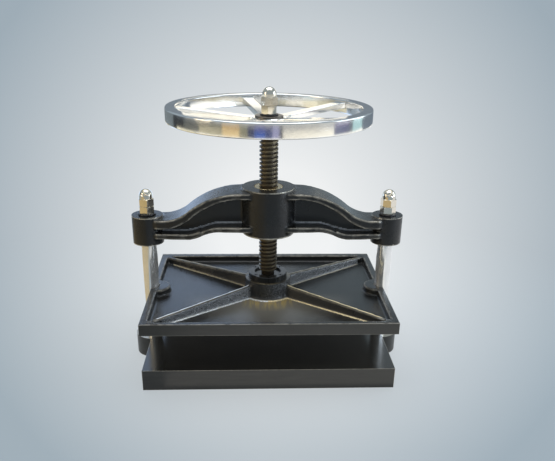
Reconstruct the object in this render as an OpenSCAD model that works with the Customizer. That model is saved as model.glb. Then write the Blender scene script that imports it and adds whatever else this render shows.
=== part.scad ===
// Cast-iron printmaking press: an arched yoke on two round columns, a ribbed
// platen driven by a vertical screw, and a spoked handwheel on top.
// Origin: centre of the bed's underside. X runs left to right, Y front to back, Z up.

/* [Bed] */
// Width of the bed block, left to right
bed_w = 478; // [460:1:500]
// Depth of the bed block, front to back
bed_d = 322; // [280:1:360]
// Height of the bed block
bed_h = 42; // [38:0.5:60]
// Radius of the bed's upright corners
bed_corner_r = 3; // [1:0.5:8]
// Radius of the round lugs that carry the columns
bed_lug_r = 37; // [32:0.5:42]
// Thickness of the bed's flat top plate
bed_plate = 18; // [12:0.5:24]
// Thickness of the bed's outer walls
bed_wall = 16; // [10:0.5:24]
// Thickness of the ribs under the bed
bed_rib = 14; // [8:0.5:20]

/* [Columns] */
// Distance between the column axes
column_span = 472; // [456:1:492]
// Diameter of the columns
column_dia = 30; // [26:0.5:34]
// Clear length of a column, from the bed up to the yoke
column_len = 199; // [180:1:260]
// Diameter of the threaded spigot at each column end
spigot_dia = 18; // [16:0.5:20]

/* [Fasteners] */
// Width across the flats of the column and wheel nuts
nut_flats = 27; // [25:0.5:30]
// Height of the plain hexagon nuts
nut_h = 15; // [10:0.5:17]
// Overall height of the cap nuts
cap_h = 33; // [29:0.5:38]
// Outer diameter of the washers
washer_dia = 34; // [31:0.5:36]
// Thickness of the washers
washer_h = 3; // [2:0.25:4]
// Turn of the left column's hexagon nut, in degrees
left_nut_turn = -19; // [-30:1:30]
// Turn of the left column's cap nut, in degrees
left_cap_turn = -17; // [-30:1:30]
// Turn of the right column's hexagon nut, in degrees
right_nut_turn = -12; // [-30:1:30]
// Turn of the right column's cap nut, in degrees
right_cap_turn = -23; // [-30:1:30]
// Turn of the wheel's hexagon nut, in degrees
wheel_nut_turn = 21; // [-30:1:30]
// Turn of the wheel's cap nut, in degrees
wheel_cap_turn = -7; // [-30:1:30]

/* [Yoke] */
// Diameter of the bosses at the yoke's ends
boss_dia = 60; // [54:0.5:66]
// Height of the bosses at the yoke's ends
boss_h = 56; // [50:0.5:64]
// Diameter of the yoke's middle hub
hub_dia = 102; // [92:0.5:112]
// Height of the yoke's middle hub
hub_h = 92; // [84:0.5:100]
// Height of the hub's underside above the boss undersides
hub_rise = 21; // [16:0.5:26]
// Height of the beam's underside above the boss undersides, at its ends
beam_rise = 14; // [10:0.5:18]
// Height of the beam at its ends
beam_end_h = 37.5; // [34:0.5:40]
// How far the crown of the beam lies below the hub's top
crown_drop = 6; // [2:0.5:12]
// Radius of the beam's crown
crown_r = 163; // [130:1:180]
// Half length of the straight top of the crown
crown_flat = 52; // [40:1:60]
// Steepest slope of the beam's top, in degrees
crown_slope = 40; // [36:0.5:44]
// How far the underside rises from the ends to the middle
belly_rise = 16.5; // [10:0.5:22]
// Steepest slope of the beam's underside, in degrees
belly_slope = 28; // [24:0.5:36]
// Distance from the middle to where the underside starts to fall
belly_flat = 95; // [80:1:105]
// Thickness of the beam's flanges
flange = 11; // [8:0.5:13]
// Thickness of the web between the flanges
web = 17; // [12:0.5:24]
// Depth of the flanges beside the hub, front to back
flange_d = 81; // [70:0.5:90]
// Depth of the flanges at the yoke's ends, front to back
flange_end_d = 62; // [50:0.5:66]
// Corner radius of the flanges where they meet the bosses
flange_corner = 12; // [8:0.5:16]

/* [Platen] */
// Width of the platen, left to right
platen_w = 472; // [450:1:490]
// Depth of the platen, front to back
platen_d = 350; // [310:1:370]
// Gap between the bed and the platen as shown
daylight = 81.5; // [40:0.5:100]
// Height of the platen's rim
rim_h = 22; // [18:0.5:30]
// Thickness of the platen's rim
rim_t = 13; // [9:0.5:18]
// Thickness of the platen's floor
floor_t = 8; // [6:0.5:12]
// Radius of the platen's upright corners
platen_corner_r = 4; // [2:0.5:8]
// Radius of the guide bosses round the column notches
guide_r = 28; // [24:0.5:32]
// How far the centres of the guide bosses lie inside the column axes
guide_inset = 9; // [4:0.5:14]
// Gap between a column and its notch
notch_gap = 1.2; // [0.5:0.1:3]
// Diameter of the platen's hub
socket_dia = 96; // [88:0.5:110]
// Height of the platen's hub
socket_h = 42; // [38:0.5:50]
// Fillet round the foot of the platen's hub
socket_fillet = 6; // [3:0.5:9]
// Thickness of the platen's diagonal ribs
rib_t = 15; // [10:0.5:20]
// Height of the ribs at the hub, from the platen's underside
rib_hub_h = 33; // [28:0.5:36]
// Height of the ribs at the corners, from the platen's underside
rib_end_h = 20.5; // [14:0.5:22]

/* [Screw] */
// Outer diameter of the screw's thread
screw_dia = 36; // [30:0.5:38]
// Lead of the thread: travel for one turn
screw_lead = 8; // [6:0.5:10]
// Length of the threaded stretch
screw_len = 282; // [265:1:310]
// Diameter of the neck below the thread
neck_dia = 26; // [20:0.5:26]
// Diameter of the thrust head at the screw's foot
head_dia = 44; // [38:0.5:48]
// Height of the thrust head
head_h = 18.5; // [12:0.5:22]
// Thickness of the thrust pad under the screw
pad_h = 5; // [3:0.5:8]
// Diameter of the bronze nut in the yoke
bush_dia = 56; // [50:0.5:64]
// Diameter of the set screw that locks the bronze nut
set_screw_dia = 8; // [6:0.5:10]

/* [Retainer] */
// Outer diameter of the split retaining ring
ring_dia = 77; // [72:0.5:84]
// Height of the split retaining ring
ring_h = 11.5; // [9:0.5:14]
// Diameter of the recess in the top of the ring
recess_dia = 53; // [46:0.5:54]
// Depth of the recess in the top of the ring
recess_h = 4; // [2:0.5:5]
// Width of the gap between the two halves
split_gap = 1; // [0.5:0.1:2]
// Diameter of the ring's four screws
ring_screw_dia = 5; // [4:0.5:6]
// Depth to which the ring's screws enter the hub
ring_screw_depth = 12; // [8:0.5:16]
// Angle between each ring screw and the left-right axis, in degrees
ring_screw_angle = 40; // [30:1:60]

/* [Handwheel] */
// Outer diameter of the handwheel
wheel_dia = 380; // [340:1:420]
// Height of the wheel's rim
wheel_rim_h = 26.5; // [22:0.5:32]
// Thickness of the wheel's rim
wheel_rim_t = 20; // [15:0.5:26]
// Corner radius of the wheel's rim
wheel_rim_r = 2.5; // [1:0.5:4]
// Number of spokes
spokes = 5; // [3:1:6]
// Direction of the first spoke, in degrees
spoke_angle = 32.5; // [0:0.5:72]
// Width of a spoke
spoke_w = 22; // [16:0.5:26]
// Thickness of a spoke
spoke_t = 11; // [8:0.5:14]
// How far the spokes rise from the hub to the rim
spoke_rise = 16; // [8:0.5:20]
// How far the spokes lie below the rim's top
spoke_drop = 4; // [2:0.5:12]
// Diameter of the wheel's hub
wheel_hub_dia = 68; // [60:0.5:78]
// Height of the wheel's hub
wheel_hub_h = 24; // [18:0.5:28]
// Diameter of the raised face on the hub
wheel_face_dia = 53; // [46:0.5:56]
// Height of the raised face on the hub
wheel_face_h = 2.5; // [1:0.5:6]
// Diameter of the screw's seat in the wheel
seat_dia = 28; // [24:0.5:30]
// Width of the key in the wheel
key_w = 8; // [5:0.5:9]

/* [Fits] */
// Gap of a running or sliding fit, on the radius
fit_gap = 0.05; // [0.02:0.01:0.08]
// Gap between faces that turn over each other
face_gap = 0.1; // [0.05:0.05:0.3]
// Extra radius of the clearance holes for spigots
hole_gap = 0.2; // [0.1:0.05:0.4]

/* [Hidden] */
$fn = 96;
fine_fn = 48;
sides = [-1, 1];
over = 1;

// Heights of the main levels
column_x = column_span / 2;
boss_z = bed_h + column_len;
boss_top = boss_z + boss_h;
hub_z = boss_z + hub_rise;
hub_top = hub_z + hub_h;
beam_z = boss_z + beam_rise;
crown_z = hub_top - crown_drop;
beam_end_z = beam_z + beam_end_h;
platen_z = bed_h + daylight;
socket_top = platen_z + socket_h;
ring_top = socket_top + ring_h;
thread_clear = 3;
thread_z = ring_top + thread_clear;
thread_depth = screw_lead / 2;
wheel_hub_z = thread_z + screw_len;
wheel_hub_top = wheel_hub_z + wheel_hub_h;
wheel_face_z = wheel_hub_top + wheel_face_h;
spoke_hub_z = wheel_hub_top;
spoke_rim_z = spoke_hub_z + spoke_rise;
wheel_rim_top = spoke_rim_z + spoke_drop;

// Base fastening: a washer and a nut sunk in the lug, clear of the floor
nut_clear = 2;
bore_floor_z = nut_clear + nut_h + washer_h;
bore_side_gap = 1.5;

// Hexagons: shares of the width across flats, and the bore's reach into the dome
corner_turned = 0.06;
dome_share = 0.48;
dome_bore_share = 0.25;

// Screw foot: the head turns on the pad, under the ring
head_play = 3 * face_gap;
neck_play = 3 * face_gap;
head_top = socket_top - head_play;
head_z = head_top - head_h;
pad_top = head_z - face_gap;
socket_floor = pad_top - pad_h;

// Ring screws: the heads are sunk in the ring, level with its top
ring_head_dia = 1.7 * ring_screw_dia;
ring_head_h = ring_screw_dia;
ring_screw_tip_gap = 1;

// Key: half in the screw's seat, half in the wheel's hub
key_h = 0.9 * key_w;
key_end_gap = 2;
key_len = wheel_hub_h - key_end_gap;
seat_sink = 1.5;
stud_chamfer = 1;
spoke_bury = 4;

// Beam outline: the crown curves over into a valley beside each boss
crown_fall = crown_z - beam_end_z;
valley_r = crown_fall / (1 - cos(crown_slope)) - crown_r;
crown_run = (crown_r + valley_r) * sin(crown_slope);
belly_r = belly_rise / (1 - cos(belly_slope)) / 2;
belly_run = 2 * belly_r * sin(belly_slope);
belly_z = beam_z + belly_rise;
flange_bury = 4;
beam_end_x = column_x - boss_dia / 2 + flange_corner / 2 + flange_bury;
flange_root_share = 0.9;
arc_steps = 10;

// Half outline of the top, from the middle outwards
function crown_arc() = [for (i = [0 : arc_steps])
    let (a = crown_slope * i / arc_steps)
    [crown_flat + crown_r * sin(a), crown_z - crown_r * (1 - cos(a))]];
function valley_arc() = [for (i = [1 : arc_steps])
    let (a = crown_slope * (1 - i / arc_steps))
    [crown_flat + crown_run - valley_r * sin(a), beam_end_z + valley_r * (1 - cos(a))]];

// Half outline of the underside, from the end inwards
function foot_arc() = [for (i = [0 : arc_steps])
    let (a = belly_slope * i / arc_steps)
    [belly_flat + belly_run - belly_r * sin(a), beam_z + belly_r * (1 - cos(a))]];
function belly_arc() = [for (i = [1 : arc_steps])
    let (a = belly_slope * (1 - i / arc_steps))
    [belly_flat + belly_r * sin(a), belly_z - belly_r * (1 - cos(a))]];

module half_profile() {
    polygon(concat(
        [[0, crown_z]], crown_arc(), valley_arc(),
        [[beam_end_x, beam_end_z], [beam_end_x, beam_z]],
        foot_arc(), belly_arc(), [[0, belly_z]]));
}

module beam_profile() {
    for (s = sides)
        scale([s, 1])
            half_profile();
}

module rounded_plate(w, d, r) {
    square([w - 2 * r, d], center = true);
    square([w, d - 2 * r], center = true);
    for (sx = sides, sy = sides)
        translate([sx * (w / 2 - r), sy * (d / 2 - r)])
            circle(r);
}

module at_columns() {
    for (s = sides)
        translate([s * column_x, 0])
            children();
}

// Hexagon blank with turned corners, standing on the floor
module hex_blank(flats, h) {
    corner_r = flats / sqrt(3);
    turned = corner_turned * flats;
    intersection() {
        cylinder(r = corner_r, h = h, $fn = 6);
        rotate_extrude()
            polygon([
                [0, 0], [flats / 2, 0], [corner_r, turned],
                [corner_r, h - turned], [flats / 2, h], [0, h]]);
    }
}

module hex_nut() {
    difference() {
        hex_blank(nut_flats, nut_h);
        translate([0, 0, -over])
            cylinder(d = spigot_dia + 2 * fit_gap, h = nut_h + 2 * over);
    }
}

module cap_nut() {
    dome_r = dome_share * nut_flats;
    bore_h = cap_h - dome_r + dome_bore_share * spigot_dia;
    difference() {
        union() {
            hex_blank(nut_flats, nut_h);
            cylinder(r = dome_r, h = cap_h - dome_r);
            translate([0, 0, cap_h - dome_r])
                sphere(dome_r);
        }
        translate([0, 0, -over])
            cylinder(d = spigot_dia + 2 * fit_gap, h = bore_h + over);
    }
}

module washer() {
    difference() {
        cylinder(d = washer_dia, h = washer_h);
        translate([0, 0, -over])
            cylinder(d = spigot_dia + 2 * hole_gap, h = washer_h + 2 * over);
    }
}

module bed_outline() {
    rounded_plate(bed_w, bed_d, bed_corner_r);
    at_columns()
        circle(bed_lug_r);
}

// Cored underside: the space inside the walls, without the lugs and the ribs
module bed_core() {
    difference() {
        rounded_plate(bed_w - 2 * bed_wall, bed_d - 2 * bed_wall, 2 * bed_corner_r);
        at_columns()
            circle(bed_lug_r);
        square([bed_w, bed_rib], center = true);
        square([bed_rib, bed_d], center = true);
    }
}

module base_bed() {
    color([0.12, 0.12, 0.13])
        difference() {
            linear_extrude(height = bed_h)
                bed_outline();
            translate([0, 0, -over])
                linear_extrude(height = bed_h - bed_plate + over)
                    bed_core();
            translate([0, 0, -over])
                at_columns() {
                    cylinder(d = spigot_dia + 2 * hole_gap, h = bed_h + 2 * over);
                    cylinder(d = washer_dia + 2 * bore_side_gap, h = bore_floor_z + over);
                }
        }
}

module column(side) {
    bottom_z = nut_clear / 2;
    top_z = boss_top + washer_h + nut_h + cap_h / 2;
    chamfer = 1;
    color([0.85, 0.86, 0.88])
        translate([side * column_x, 0, 0])
            rotate_extrude()
                polygon([
                    [0, bottom_z], [spigot_dia / 2 - chamfer, bottom_z],
                    [spigot_dia / 2, bottom_z + chamfer], [spigot_dia / 2, bed_h],
                    [column_dia / 2, bed_h], [column_dia / 2, boss_z],
                    [spigot_dia / 2, boss_z], [spigot_dia / 2, top_z - chamfer],
                    [spigot_dia / 2 - chamfer, top_z], [0, top_z]]);
}

module column_left() {
    column(-1);
}

module column_right() {
    column(1);
}

module base_washers() {
    color([0.35, 0.36, 0.38])
        translate([0, 0, bore_floor_z - washer_h])
            at_columns()
                washer();
}

module base_nuts() {
    color([0.6, 0.6, 0.62])
        translate([0, 0, nut_clear])
            at_columns()
                hex_nut();
}

// The beam's flanges seen from above: widest at the hub, rounded at the bosses
module beam_plan() {
    hull() {
        square([flange_root_share * hub_dia, flange_d], center = true);
        for (sx = sides, sy = sides)
            translate([
                sx * (beam_end_x - flange_corner),
                sy * (flange_end_d / 2 - flange_corner)])
                circle(flange_corner, $fn = fine_fn);
    }
}

// The hollow between the flanges, with rounded inner corners
module web_hollow() {
    hollow_r = 5;
    offset(r = hollow_r)
        offset(delta = -flange - hollow_r)
            union() {
                beam_profile();
                for (s = sides)
                    translate([s * beam_end_x, beam_z + beam_end_h / 2])
                        square([2 * flange, beam_end_h], center = true);
            }
}

module beam() {
    difference() {
        intersection() {
            rotate([90, 0, 0])
                linear_extrude(height = flange_d + 2 * over, center = true)
                    beam_profile();
            translate([0, 0, beam_z - over])
                linear_extrude(height = hub_top - beam_z + over)
                    beam_plan();
        }
        for (s = sides)
            translate([0, s * (web / 2 + flange_d / 2), 0])
                rotate([90, 0, 0])
                    linear_extrude(height = flange_d, center = true)
                        web_hollow();
    }
}

module yoke() {
    color([0.13, 0.14, 0.15])
        difference() {
            union() {
                beam();
                translate([0, 0, hub_z])
                    cylinder(d = hub_dia, h = hub_h);
                translate([0, 0, boss_z])
                    at_columns()
                        cylinder(d = boss_dia, h = boss_h);
            }
            translate([0, 0, hub_z - over])
                cylinder(d = bush_dia + 2 * fit_gap, h = hub_h + 2 * over);
            translate([0, 0, boss_z - over])
                at_columns()
                    cylinder(d = spigot_dia + 2 * hole_gap, h = boss_h + 2 * over);
            translate([0, 0, hub_z + hub_h / 2])
                rotate([-90, 0, 0])
                    cylinder(d = set_screw_dia + 2 * fit_gap, h = hub_dia);
        }
}

module screw_nut() {
    chamfer = 1.5;
    color([0.72, 0.53, 0.26])
        translate([0, 0, hub_z])
            rotate_extrude()
                polygon([
                    [screw_dia / 2 + fit_gap, 0], [bush_dia / 2 - chamfer, 0],
                    [bush_dia / 2, chamfer], [bush_dia / 2, hub_h - chamfer],
                    [bush_dia / 2 - chamfer, hub_h], [screw_dia / 2 + fit_gap, hub_h]]);
}

// The set screw lies inside the hub's wall and bears on the bronze nut
module nut_set_screw() {
    inner = bush_dia / 2 + fit_gap;
    sunk = 3;
    key_flats = set_screw_dia / 2;
    color([0.25, 0.25, 0.27])
        translate([0, inner, hub_z + hub_h / 2])
            rotate([-90, 0, 0])
                difference() {
                    cylinder(d = set_screw_dia, h = hub_dia / 2 - inner - sunk);
                    translate([0, 0, hub_dia / 2 - inner - sunk - key_flats])
                        cylinder(d = key_flats * 2 / sqrt(3), h = key_flats + over, $fn = 6);
                }
}

module yoke_washers() {
    color([0.25, 0.25, 0.27])
        translate([0, 0, boss_top])
            at_columns()
                washer();
}

module yoke_hex_nuts() {
    color([0.85, 0.86, 0.88])
        translate([0, 0, boss_top + washer_h]) {
            translate([-column_x, 0])
                rotate([0, 0, left_nut_turn])
                    hex_nut();
            translate([column_x, 0])
                rotate([0, 0, right_nut_turn])
                    hex_nut();
        }
}

module yoke_cap_nuts() {
    color([0.85, 0.86, 0.88])
        translate([0, 0, boss_top + washer_h + nut_h]) {
            translate([-column_x, 0])
                rotate([0, 0, left_cap_turn])
                    cap_nut();
            translate([column_x, 0])
                rotate([0, 0, right_cap_turn])
                    cap_nut();
        }
}

// Rib from the hub to one corner, sloping down from the hub
module platen_rib(length) {
    rotate([90, 0, 0])
        linear_extrude(height = rib_t, center = true)
            polygon([
                [0, 0], [length, 0], [length, rib_end_h],
                [socket_dia / 2, rib_hub_h], [0, rib_hub_h]]);
}

module platen() {
    inner_x = platen_w / 2 - rim_t;
    inner_y = platen_d / 2 - rim_t;
    rib_angle = atan2(inner_y, inner_x);
    rib_len = norm([inner_x, inner_y]);
    inner_r = 8;
    notch_r = column_dia / 2 + notch_gap;
    fillet_foot = socket_dia / 2 + socket_fillet;
    color([0.13, 0.14, 0.15])
        translate([0, 0, platen_z])
            difference() {
                union() {
                    difference() {
                        linear_extrude(height = rim_h)
                            rounded_plate(platen_w, platen_d, platen_corner_r);
                        translate([0, 0, floor_t])
                            linear_extrude(height = rim_h)
                                difference() {
                                    rounded_plate(2 * inner_x, 2 * inner_y, inner_r);
                                    for (s = sides)
                                        translate([s * (column_x - guide_inset), 0])
                                            circle(guide_r);
                                }
                    }
                    for (sx = sides, sy = sides)
                        rotate([0, 0, sx * sy * rib_angle + (sx < 0 ? 180 : 0)])
                            platen_rib(rib_len);
                    cylinder(d = socket_dia, h = socket_h);
                    rotate_extrude()
                        translate([0, floor_t])
                            difference() {
                                square([fillet_foot, socket_fillet]);
                                translate([fillet_foot, socket_fillet])
                                    circle(socket_fillet);
                            }
                }
                translate([0, 0, socket_floor - platen_z])
                    cylinder(d = head_dia + 2 * fit_gap, h = socket_h);
                translate([0, 0, -over])
                    at_columns()
                        cylinder(r = notch_r, h = rim_h + 2 * over);
                translate([0, 0, socket_h - ring_screw_depth])
                    ring_screw_places()
                        cylinder(d = ring_screw_dia + 2 * fit_gap, h = ring_screw_depth + over);
            }
}

module thrust_pad() {
    color([0.72, 0.53, 0.26])
        translate([0, 0, socket_floor])
            cylinder(d = head_dia - 2 * hole_gap, h = pad_h);
}

module ring_screw_places() {
    place_r = (ring_dia + recess_dia) / 4;
    for (sx = sides, sy = sides)
        translate([
            sx * place_r * cos(ring_screw_angle),
            sy * place_r * sin(ring_screw_angle)])
            children();
}

// One half of the ring that keeps the screw's head in the platen
module retainer(side) {
    color([0.16, 0.17, 0.18])
        translate([0, 0, socket_top])
            difference() {
                cylinder(d = ring_dia, h = ring_h);
                translate([0, 0, -over])
                    cylinder(d = neck_dia + 2 * neck_play, h = ring_h + 2 * over);
                translate([0, 0, ring_h - recess_h])
                    cylinder(d = recess_dia, h = recess_h + over);
                translate([-side * (ring_dia - split_gap) / 2, 0, ring_h / 2])
                    cube([ring_dia, ring_dia + 2 * over, ring_h + 2 * over], center = true);
                ring_screw_places() {
                    translate([0, 0, -over])
                        cylinder(d = ring_screw_dia + 2 * hole_gap, h = ring_h + 2 * over);
                    translate([0, 0, ring_h - ring_head_h])
                        cylinder(d = ring_head_dia + 2 * hole_gap, h = ring_head_h + over);
                }
            }
}

module retainer_left() {
    retainer(-1);
}

module retainer_right() {
    retainer(1);
}

module retainer_screws() {
    shank = ring_h - ring_head_h + ring_screw_depth - ring_screw_tip_gap;
    socket_depth = ring_screw_dia / 2;
    socket_flats = 0.8 * ring_screw_dia;
    color([0.3, 0.3, 0.32])
        translate([0, 0, socket_top + ring_h - ring_head_h])
            ring_screw_places()
                difference() {
                    union() {
                        cylinder(d = ring_head_dia, h = ring_head_h);
                        translate([0, 0, -shank])
                            cylinder(d = ring_screw_dia, h = shank);
                    }
                    translate([0, 0, ring_head_h - socket_depth])
                        cylinder(d = socket_flats * 2 / sqrt(3), h = socket_depth + over, $fn = 6);
                }
}

module press_screw() {
    seat_top = wheel_face_z - seat_sink;
    top_z = wheel_face_z + washer_h + nut_h + cap_h / 2;
    color([0.42, 0.36, 0.3])
        difference() {
            rotate_extrude()
                polygon([
                    [0, head_z], [head_dia / 2, head_z], [head_dia / 2, head_top],
                    [neck_dia / 2, head_top], [neck_dia / 2, thread_z],
                    [screw_dia / 2 - thread_depth, thread_z],
                    [screw_dia / 2, thread_z + thread_depth],
                    [screw_dia / 2, wheel_hub_z], [seat_dia / 2, wheel_hub_z],
                    [seat_dia / 2, seat_top], [spigot_dia / 2, seat_top],
                    [spigot_dia / 2, top_z - stud_chamfer],
                    [spigot_dia / 2 - stud_chamfer, top_z], [0, top_z]]);
            translate([0, seat_dia / 2, wheel_hub_z + key_len / 2])
                cube([key_w + 2 * fit_gap, key_h + 2 * fit_gap, key_len + 2 * fit_gap], center = true);
        }
}

module wheel_key() {
    color([0.5, 0.5, 0.52])
        translate([0, seat_dia / 2, wheel_hub_z + key_len / 2])
            cube([key_w, key_h, key_len], center = true);
}

module wheel_spoke() {
    inner_r = wheel_hub_dia / 2 - spoke_bury;
    outer_r = wheel_dia / 2 - wheel_rim_t / 2;
    rotate([90, 0, 0])
        linear_extrude(height = spoke_w, center = true)
            polygon([
                [inner_r, spoke_hub_z - spoke_t], [outer_r, spoke_rim_z - spoke_t],
                [outer_r, spoke_rim_z], [inner_r, spoke_hub_z]]);
}

module handwheel() {
    color([0.88, 0.89, 0.9])
        difference() {
            union() {
                rotate_extrude($fn = 144)
                    translate([wheel_dia / 2 - wheel_rim_t / 2, wheel_rim_top - wheel_rim_h / 2])
                        rounded_plate(wheel_rim_t, wheel_rim_h, wheel_rim_r);
                for (i = [0 : spokes - 1])
                    rotate([0, 0, spoke_angle + 360 * i / spokes])
                        wheel_spoke();
                translate([0, 0, wheel_hub_z])
                    cylinder(d = wheel_hub_dia, h = wheel_hub_h);
                translate([0, 0, wheel_hub_z])
                    cylinder(d = wheel_face_dia, h = wheel_hub_h + wheel_face_h);
            }
            translate([0, 0, wheel_hub_z - over])
                cylinder(d = seat_dia + 2 * fit_gap, h = wheel_hub_h + wheel_face_h + 2 * over);
            translate([0, seat_dia / 2, wheel_hub_z + (key_len - over) / 2])
                cube([key_w + 2 * fit_gap, key_h + 2 * fit_gap, key_len + over + 2 * fit_gap],
                    center = true);
        }
}

module wheel_washer() {
    color([0.25, 0.25, 0.27])
        translate([0, 0, wheel_face_z])
            washer();
}

module wheel_hex_nut() {
    color([0.85, 0.86, 0.88])
        translate([0, 0, wheel_face_z + washer_h])
            rotate([0, 0, wheel_nut_turn])
                hex_nut();
}

module wheel_cap_nut() {
    color([0.85, 0.86, 0.88])
        translate([0, 0, wheel_face_z + washer_h + nut_h])
            rotate([0, 0, wheel_cap_turn])
                cap_nut();
}

base_bed();
column_left();
column_right();
base_washers();
base_nuts();
yoke();
screw_nut();
nut_set_screw();
yoke_washers();
yoke_hex_nuts();
yoke_cap_nuts();
platen();
thrust_pad();
retainer_left();
retainer_right();
retainer_screws();
press_screw();
handwheel();
wheel_key();
wheel_washer();
wheel_hex_nut();
wheel_cap_nut();
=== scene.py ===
import math
from functools import cache

import bmesh
import bpy
from bpy.props import FloatProperty, FloatVectorProperty, IntProperty, PointerProperty
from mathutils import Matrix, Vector


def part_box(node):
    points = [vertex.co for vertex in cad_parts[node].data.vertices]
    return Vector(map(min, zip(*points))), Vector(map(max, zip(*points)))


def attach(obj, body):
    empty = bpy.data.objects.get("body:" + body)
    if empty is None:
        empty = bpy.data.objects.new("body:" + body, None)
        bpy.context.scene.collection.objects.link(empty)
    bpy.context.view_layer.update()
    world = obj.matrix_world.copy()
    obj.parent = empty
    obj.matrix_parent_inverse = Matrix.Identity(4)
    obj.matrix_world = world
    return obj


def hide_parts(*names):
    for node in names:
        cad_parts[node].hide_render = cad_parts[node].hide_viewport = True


bl_info = {
    "name": "Printmaking Press",
    "version": (1, 0, 0),
    "blender": (4, 5, 0),
    "location": "View3D > Sidebar > Press",
    "description": "Builds the castings, screw, handwheel, fasteners and studio of a cast-iron press",
    "category": "Object",
}

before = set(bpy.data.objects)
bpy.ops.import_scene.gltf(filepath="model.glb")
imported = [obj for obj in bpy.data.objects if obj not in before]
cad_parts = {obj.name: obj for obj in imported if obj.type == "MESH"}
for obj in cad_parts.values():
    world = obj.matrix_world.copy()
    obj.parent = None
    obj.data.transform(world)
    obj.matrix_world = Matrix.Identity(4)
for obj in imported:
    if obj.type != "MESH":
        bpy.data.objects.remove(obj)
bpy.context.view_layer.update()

MM = 0.001
UP = Vector((0, 0, 1))
BACK = Vector((0, 1, 0))
SIDES = (-1, 1)
# Points that lie closer than this are one
TINY = 1e-5
# Room between a bore and what is pressed or keyed into it
FIT = 0.05 * MM
# The three bodies of the frame
STILL, RISER, TURNER = "frame", "platen", "screw"


# Sizes and colours that a user would change

def length(name, description, millimetres):
    """A length in the sidebar, with its default given in millimetres."""
    return FloatProperty(
        name=name, description=description, default=millimetres * MM,
        min=0, unit="LENGTH", subtype="DISTANCE", precision=4)


def angle(name, description, degrees):
    """An angle in the sidebar, with its default given in degrees."""
    return FloatProperty(
        name=name, description=description, default=math.radians(degrees), subtype="ANGLE")


def share(name, description, value):
    """A share from 0 to 1 in the sidebar."""
    return FloatProperty(
        name=name, description=description, default=value, min=0, max=1, subtype="FACTOR")


def colour(name, description, value):
    """A colour in the sidebar."""
    return FloatVectorProperty(
        name=name, description=description, default=value, size=3, min=0, max=1, subtype="COLOR")


class PressCasting(bpy.types.PropertyGroup):
    """Sizes that the three castings share."""
    voxel: length("Casting grain", "Size of the facets of a cast surface before it is smoothed", 2.0)
    softening: IntProperty(
        name="Softening", description="Smoothing passes that round a casting's edges", default=6, min=0)
    stock: length("Machining stock", "Material that is cast on and then machined off", 4)
    edge: length("Machined edge", "Width of the broken edge of a machined face", 0.7)


class PressBed(bpy.types.PropertyGroup):
    """Sizes of the bed."""
    width: length("Width", "Width of the bed block", 478)
    depth: length("Depth", "Depth of the bed block, front to back", 322)
    lug: length("Lug radius", "Radius of the lugs that carry the columns", 37)
    plate: length("Top plate", "Thickness of the bed's top plate", 18)
    wall: length("Wall", "Thickness of the outer walls under the plate", 16)
    rib: length("Rib", "Thickness of the cross ribs under the plate", 14)
    bore: length("Bore", "Radius of the holes for the columns' lower ends", 9.2)
    sink: length("Nut recess radius", "Radius of the recess round a base nut", 18.5)
    sink_depth: length("Nut recess depth", "Depth of the recess round a base nut", 20)


class PressYoke(bpy.types.PropertyGroup):
    """Sizes of the yoke."""
    boss: length("Boss radius", "Radius of the end bosses", 30)
    hub: length("Hub radius", "Radius of the middle hub", 51)
    crown_drop: length("Crown drop", "How far the crown lies below the hub's top", 6)
    crown: length("Crown radius", "Radius of the beam's crown", 163)
    crown_flat: length("Crown flat", "Half length of the crown's straight top", 52)
    crown_slope: angle("Crown slope", "Steepest slope of the beam's top", 40)
    beam_rise: length("Beam rise", "Height of the beam's foot above the bosses' undersides", 14)
    beam_end: length("Beam end height", "Height of the beam at the bosses", 37.5)
    belly_rise: length("Belly rise", "How far the underside rises to the middle", 16.5)
    belly_flat: length("Belly flat", "Distance from the middle to where the underside falls", 95)
    belly_slope: angle("Belly slope", "Steepest slope of the underside", 28)
    flange: length("Flange", "Thickness of the flanges", 11)
    thicken: length("Flange growth", "How much thicker the upper flange is at the bosses", 6)
    web: length("Web", "Thickness of the web", 17)
    depth: length("Depth at hub", "Depth of the flanges beside the hub", 81)
    end_depth: length("Depth at boss", "Depth of the flanges at the bosses", 62)
    corner: length("Flange corner", "Corner radius of the flanges at the bosses", 12)
    bore: length("Boss bore", "Radius of the holes for the columns' upper ends", 9.2)
    set_screw: length("Set screw hole", "Radius of the cross hole in the hub", 4.05)


class PressPlaten(bpy.types.PropertyGroup):
    """Sizes of the platen."""
    rim: length("Rim", "Thickness of the rim", 13)
    rim_height: length("Rim height", "Height of the rim", 22)
    floor: length("Floor", "Thickness of the floor", 8)
    guide: length("Guide radius", "Radius of the guide bosses", 28)
    guide_inset: length("Guide inset", "How far the guides lie inside the columns", 9)
    notch: length("Notch radius", "Radius of the notches round the columns", 16.2)
    hub: length("Hub radius", "Radius of the hub", 48)
    hub_height: length("Hub height", "Height of the hub above the platen's underside", 42)
    socket: length("Socket radius", "Radius of the bore for the screw's head", 22.05)
    rib: length("Rib", "Thickness of the diagonal ribs at the foot", 17)
    draft: share("Rib draft", "Width of a rib's top, as a share of its foot", 0.45)
    rib_hub: length("Rib height at hub", "Height of the ribs at the hub", 33)
    rib_end: length("Rib height at corner", "Height of the ribs at the corners", 20.5)
    hub_draft: length("Hub draft", "How much smaller the hub's radius is at the top", 3)
    fillet: length("Foot fillet", "Radius round the foot of the hub", 8)


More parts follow.
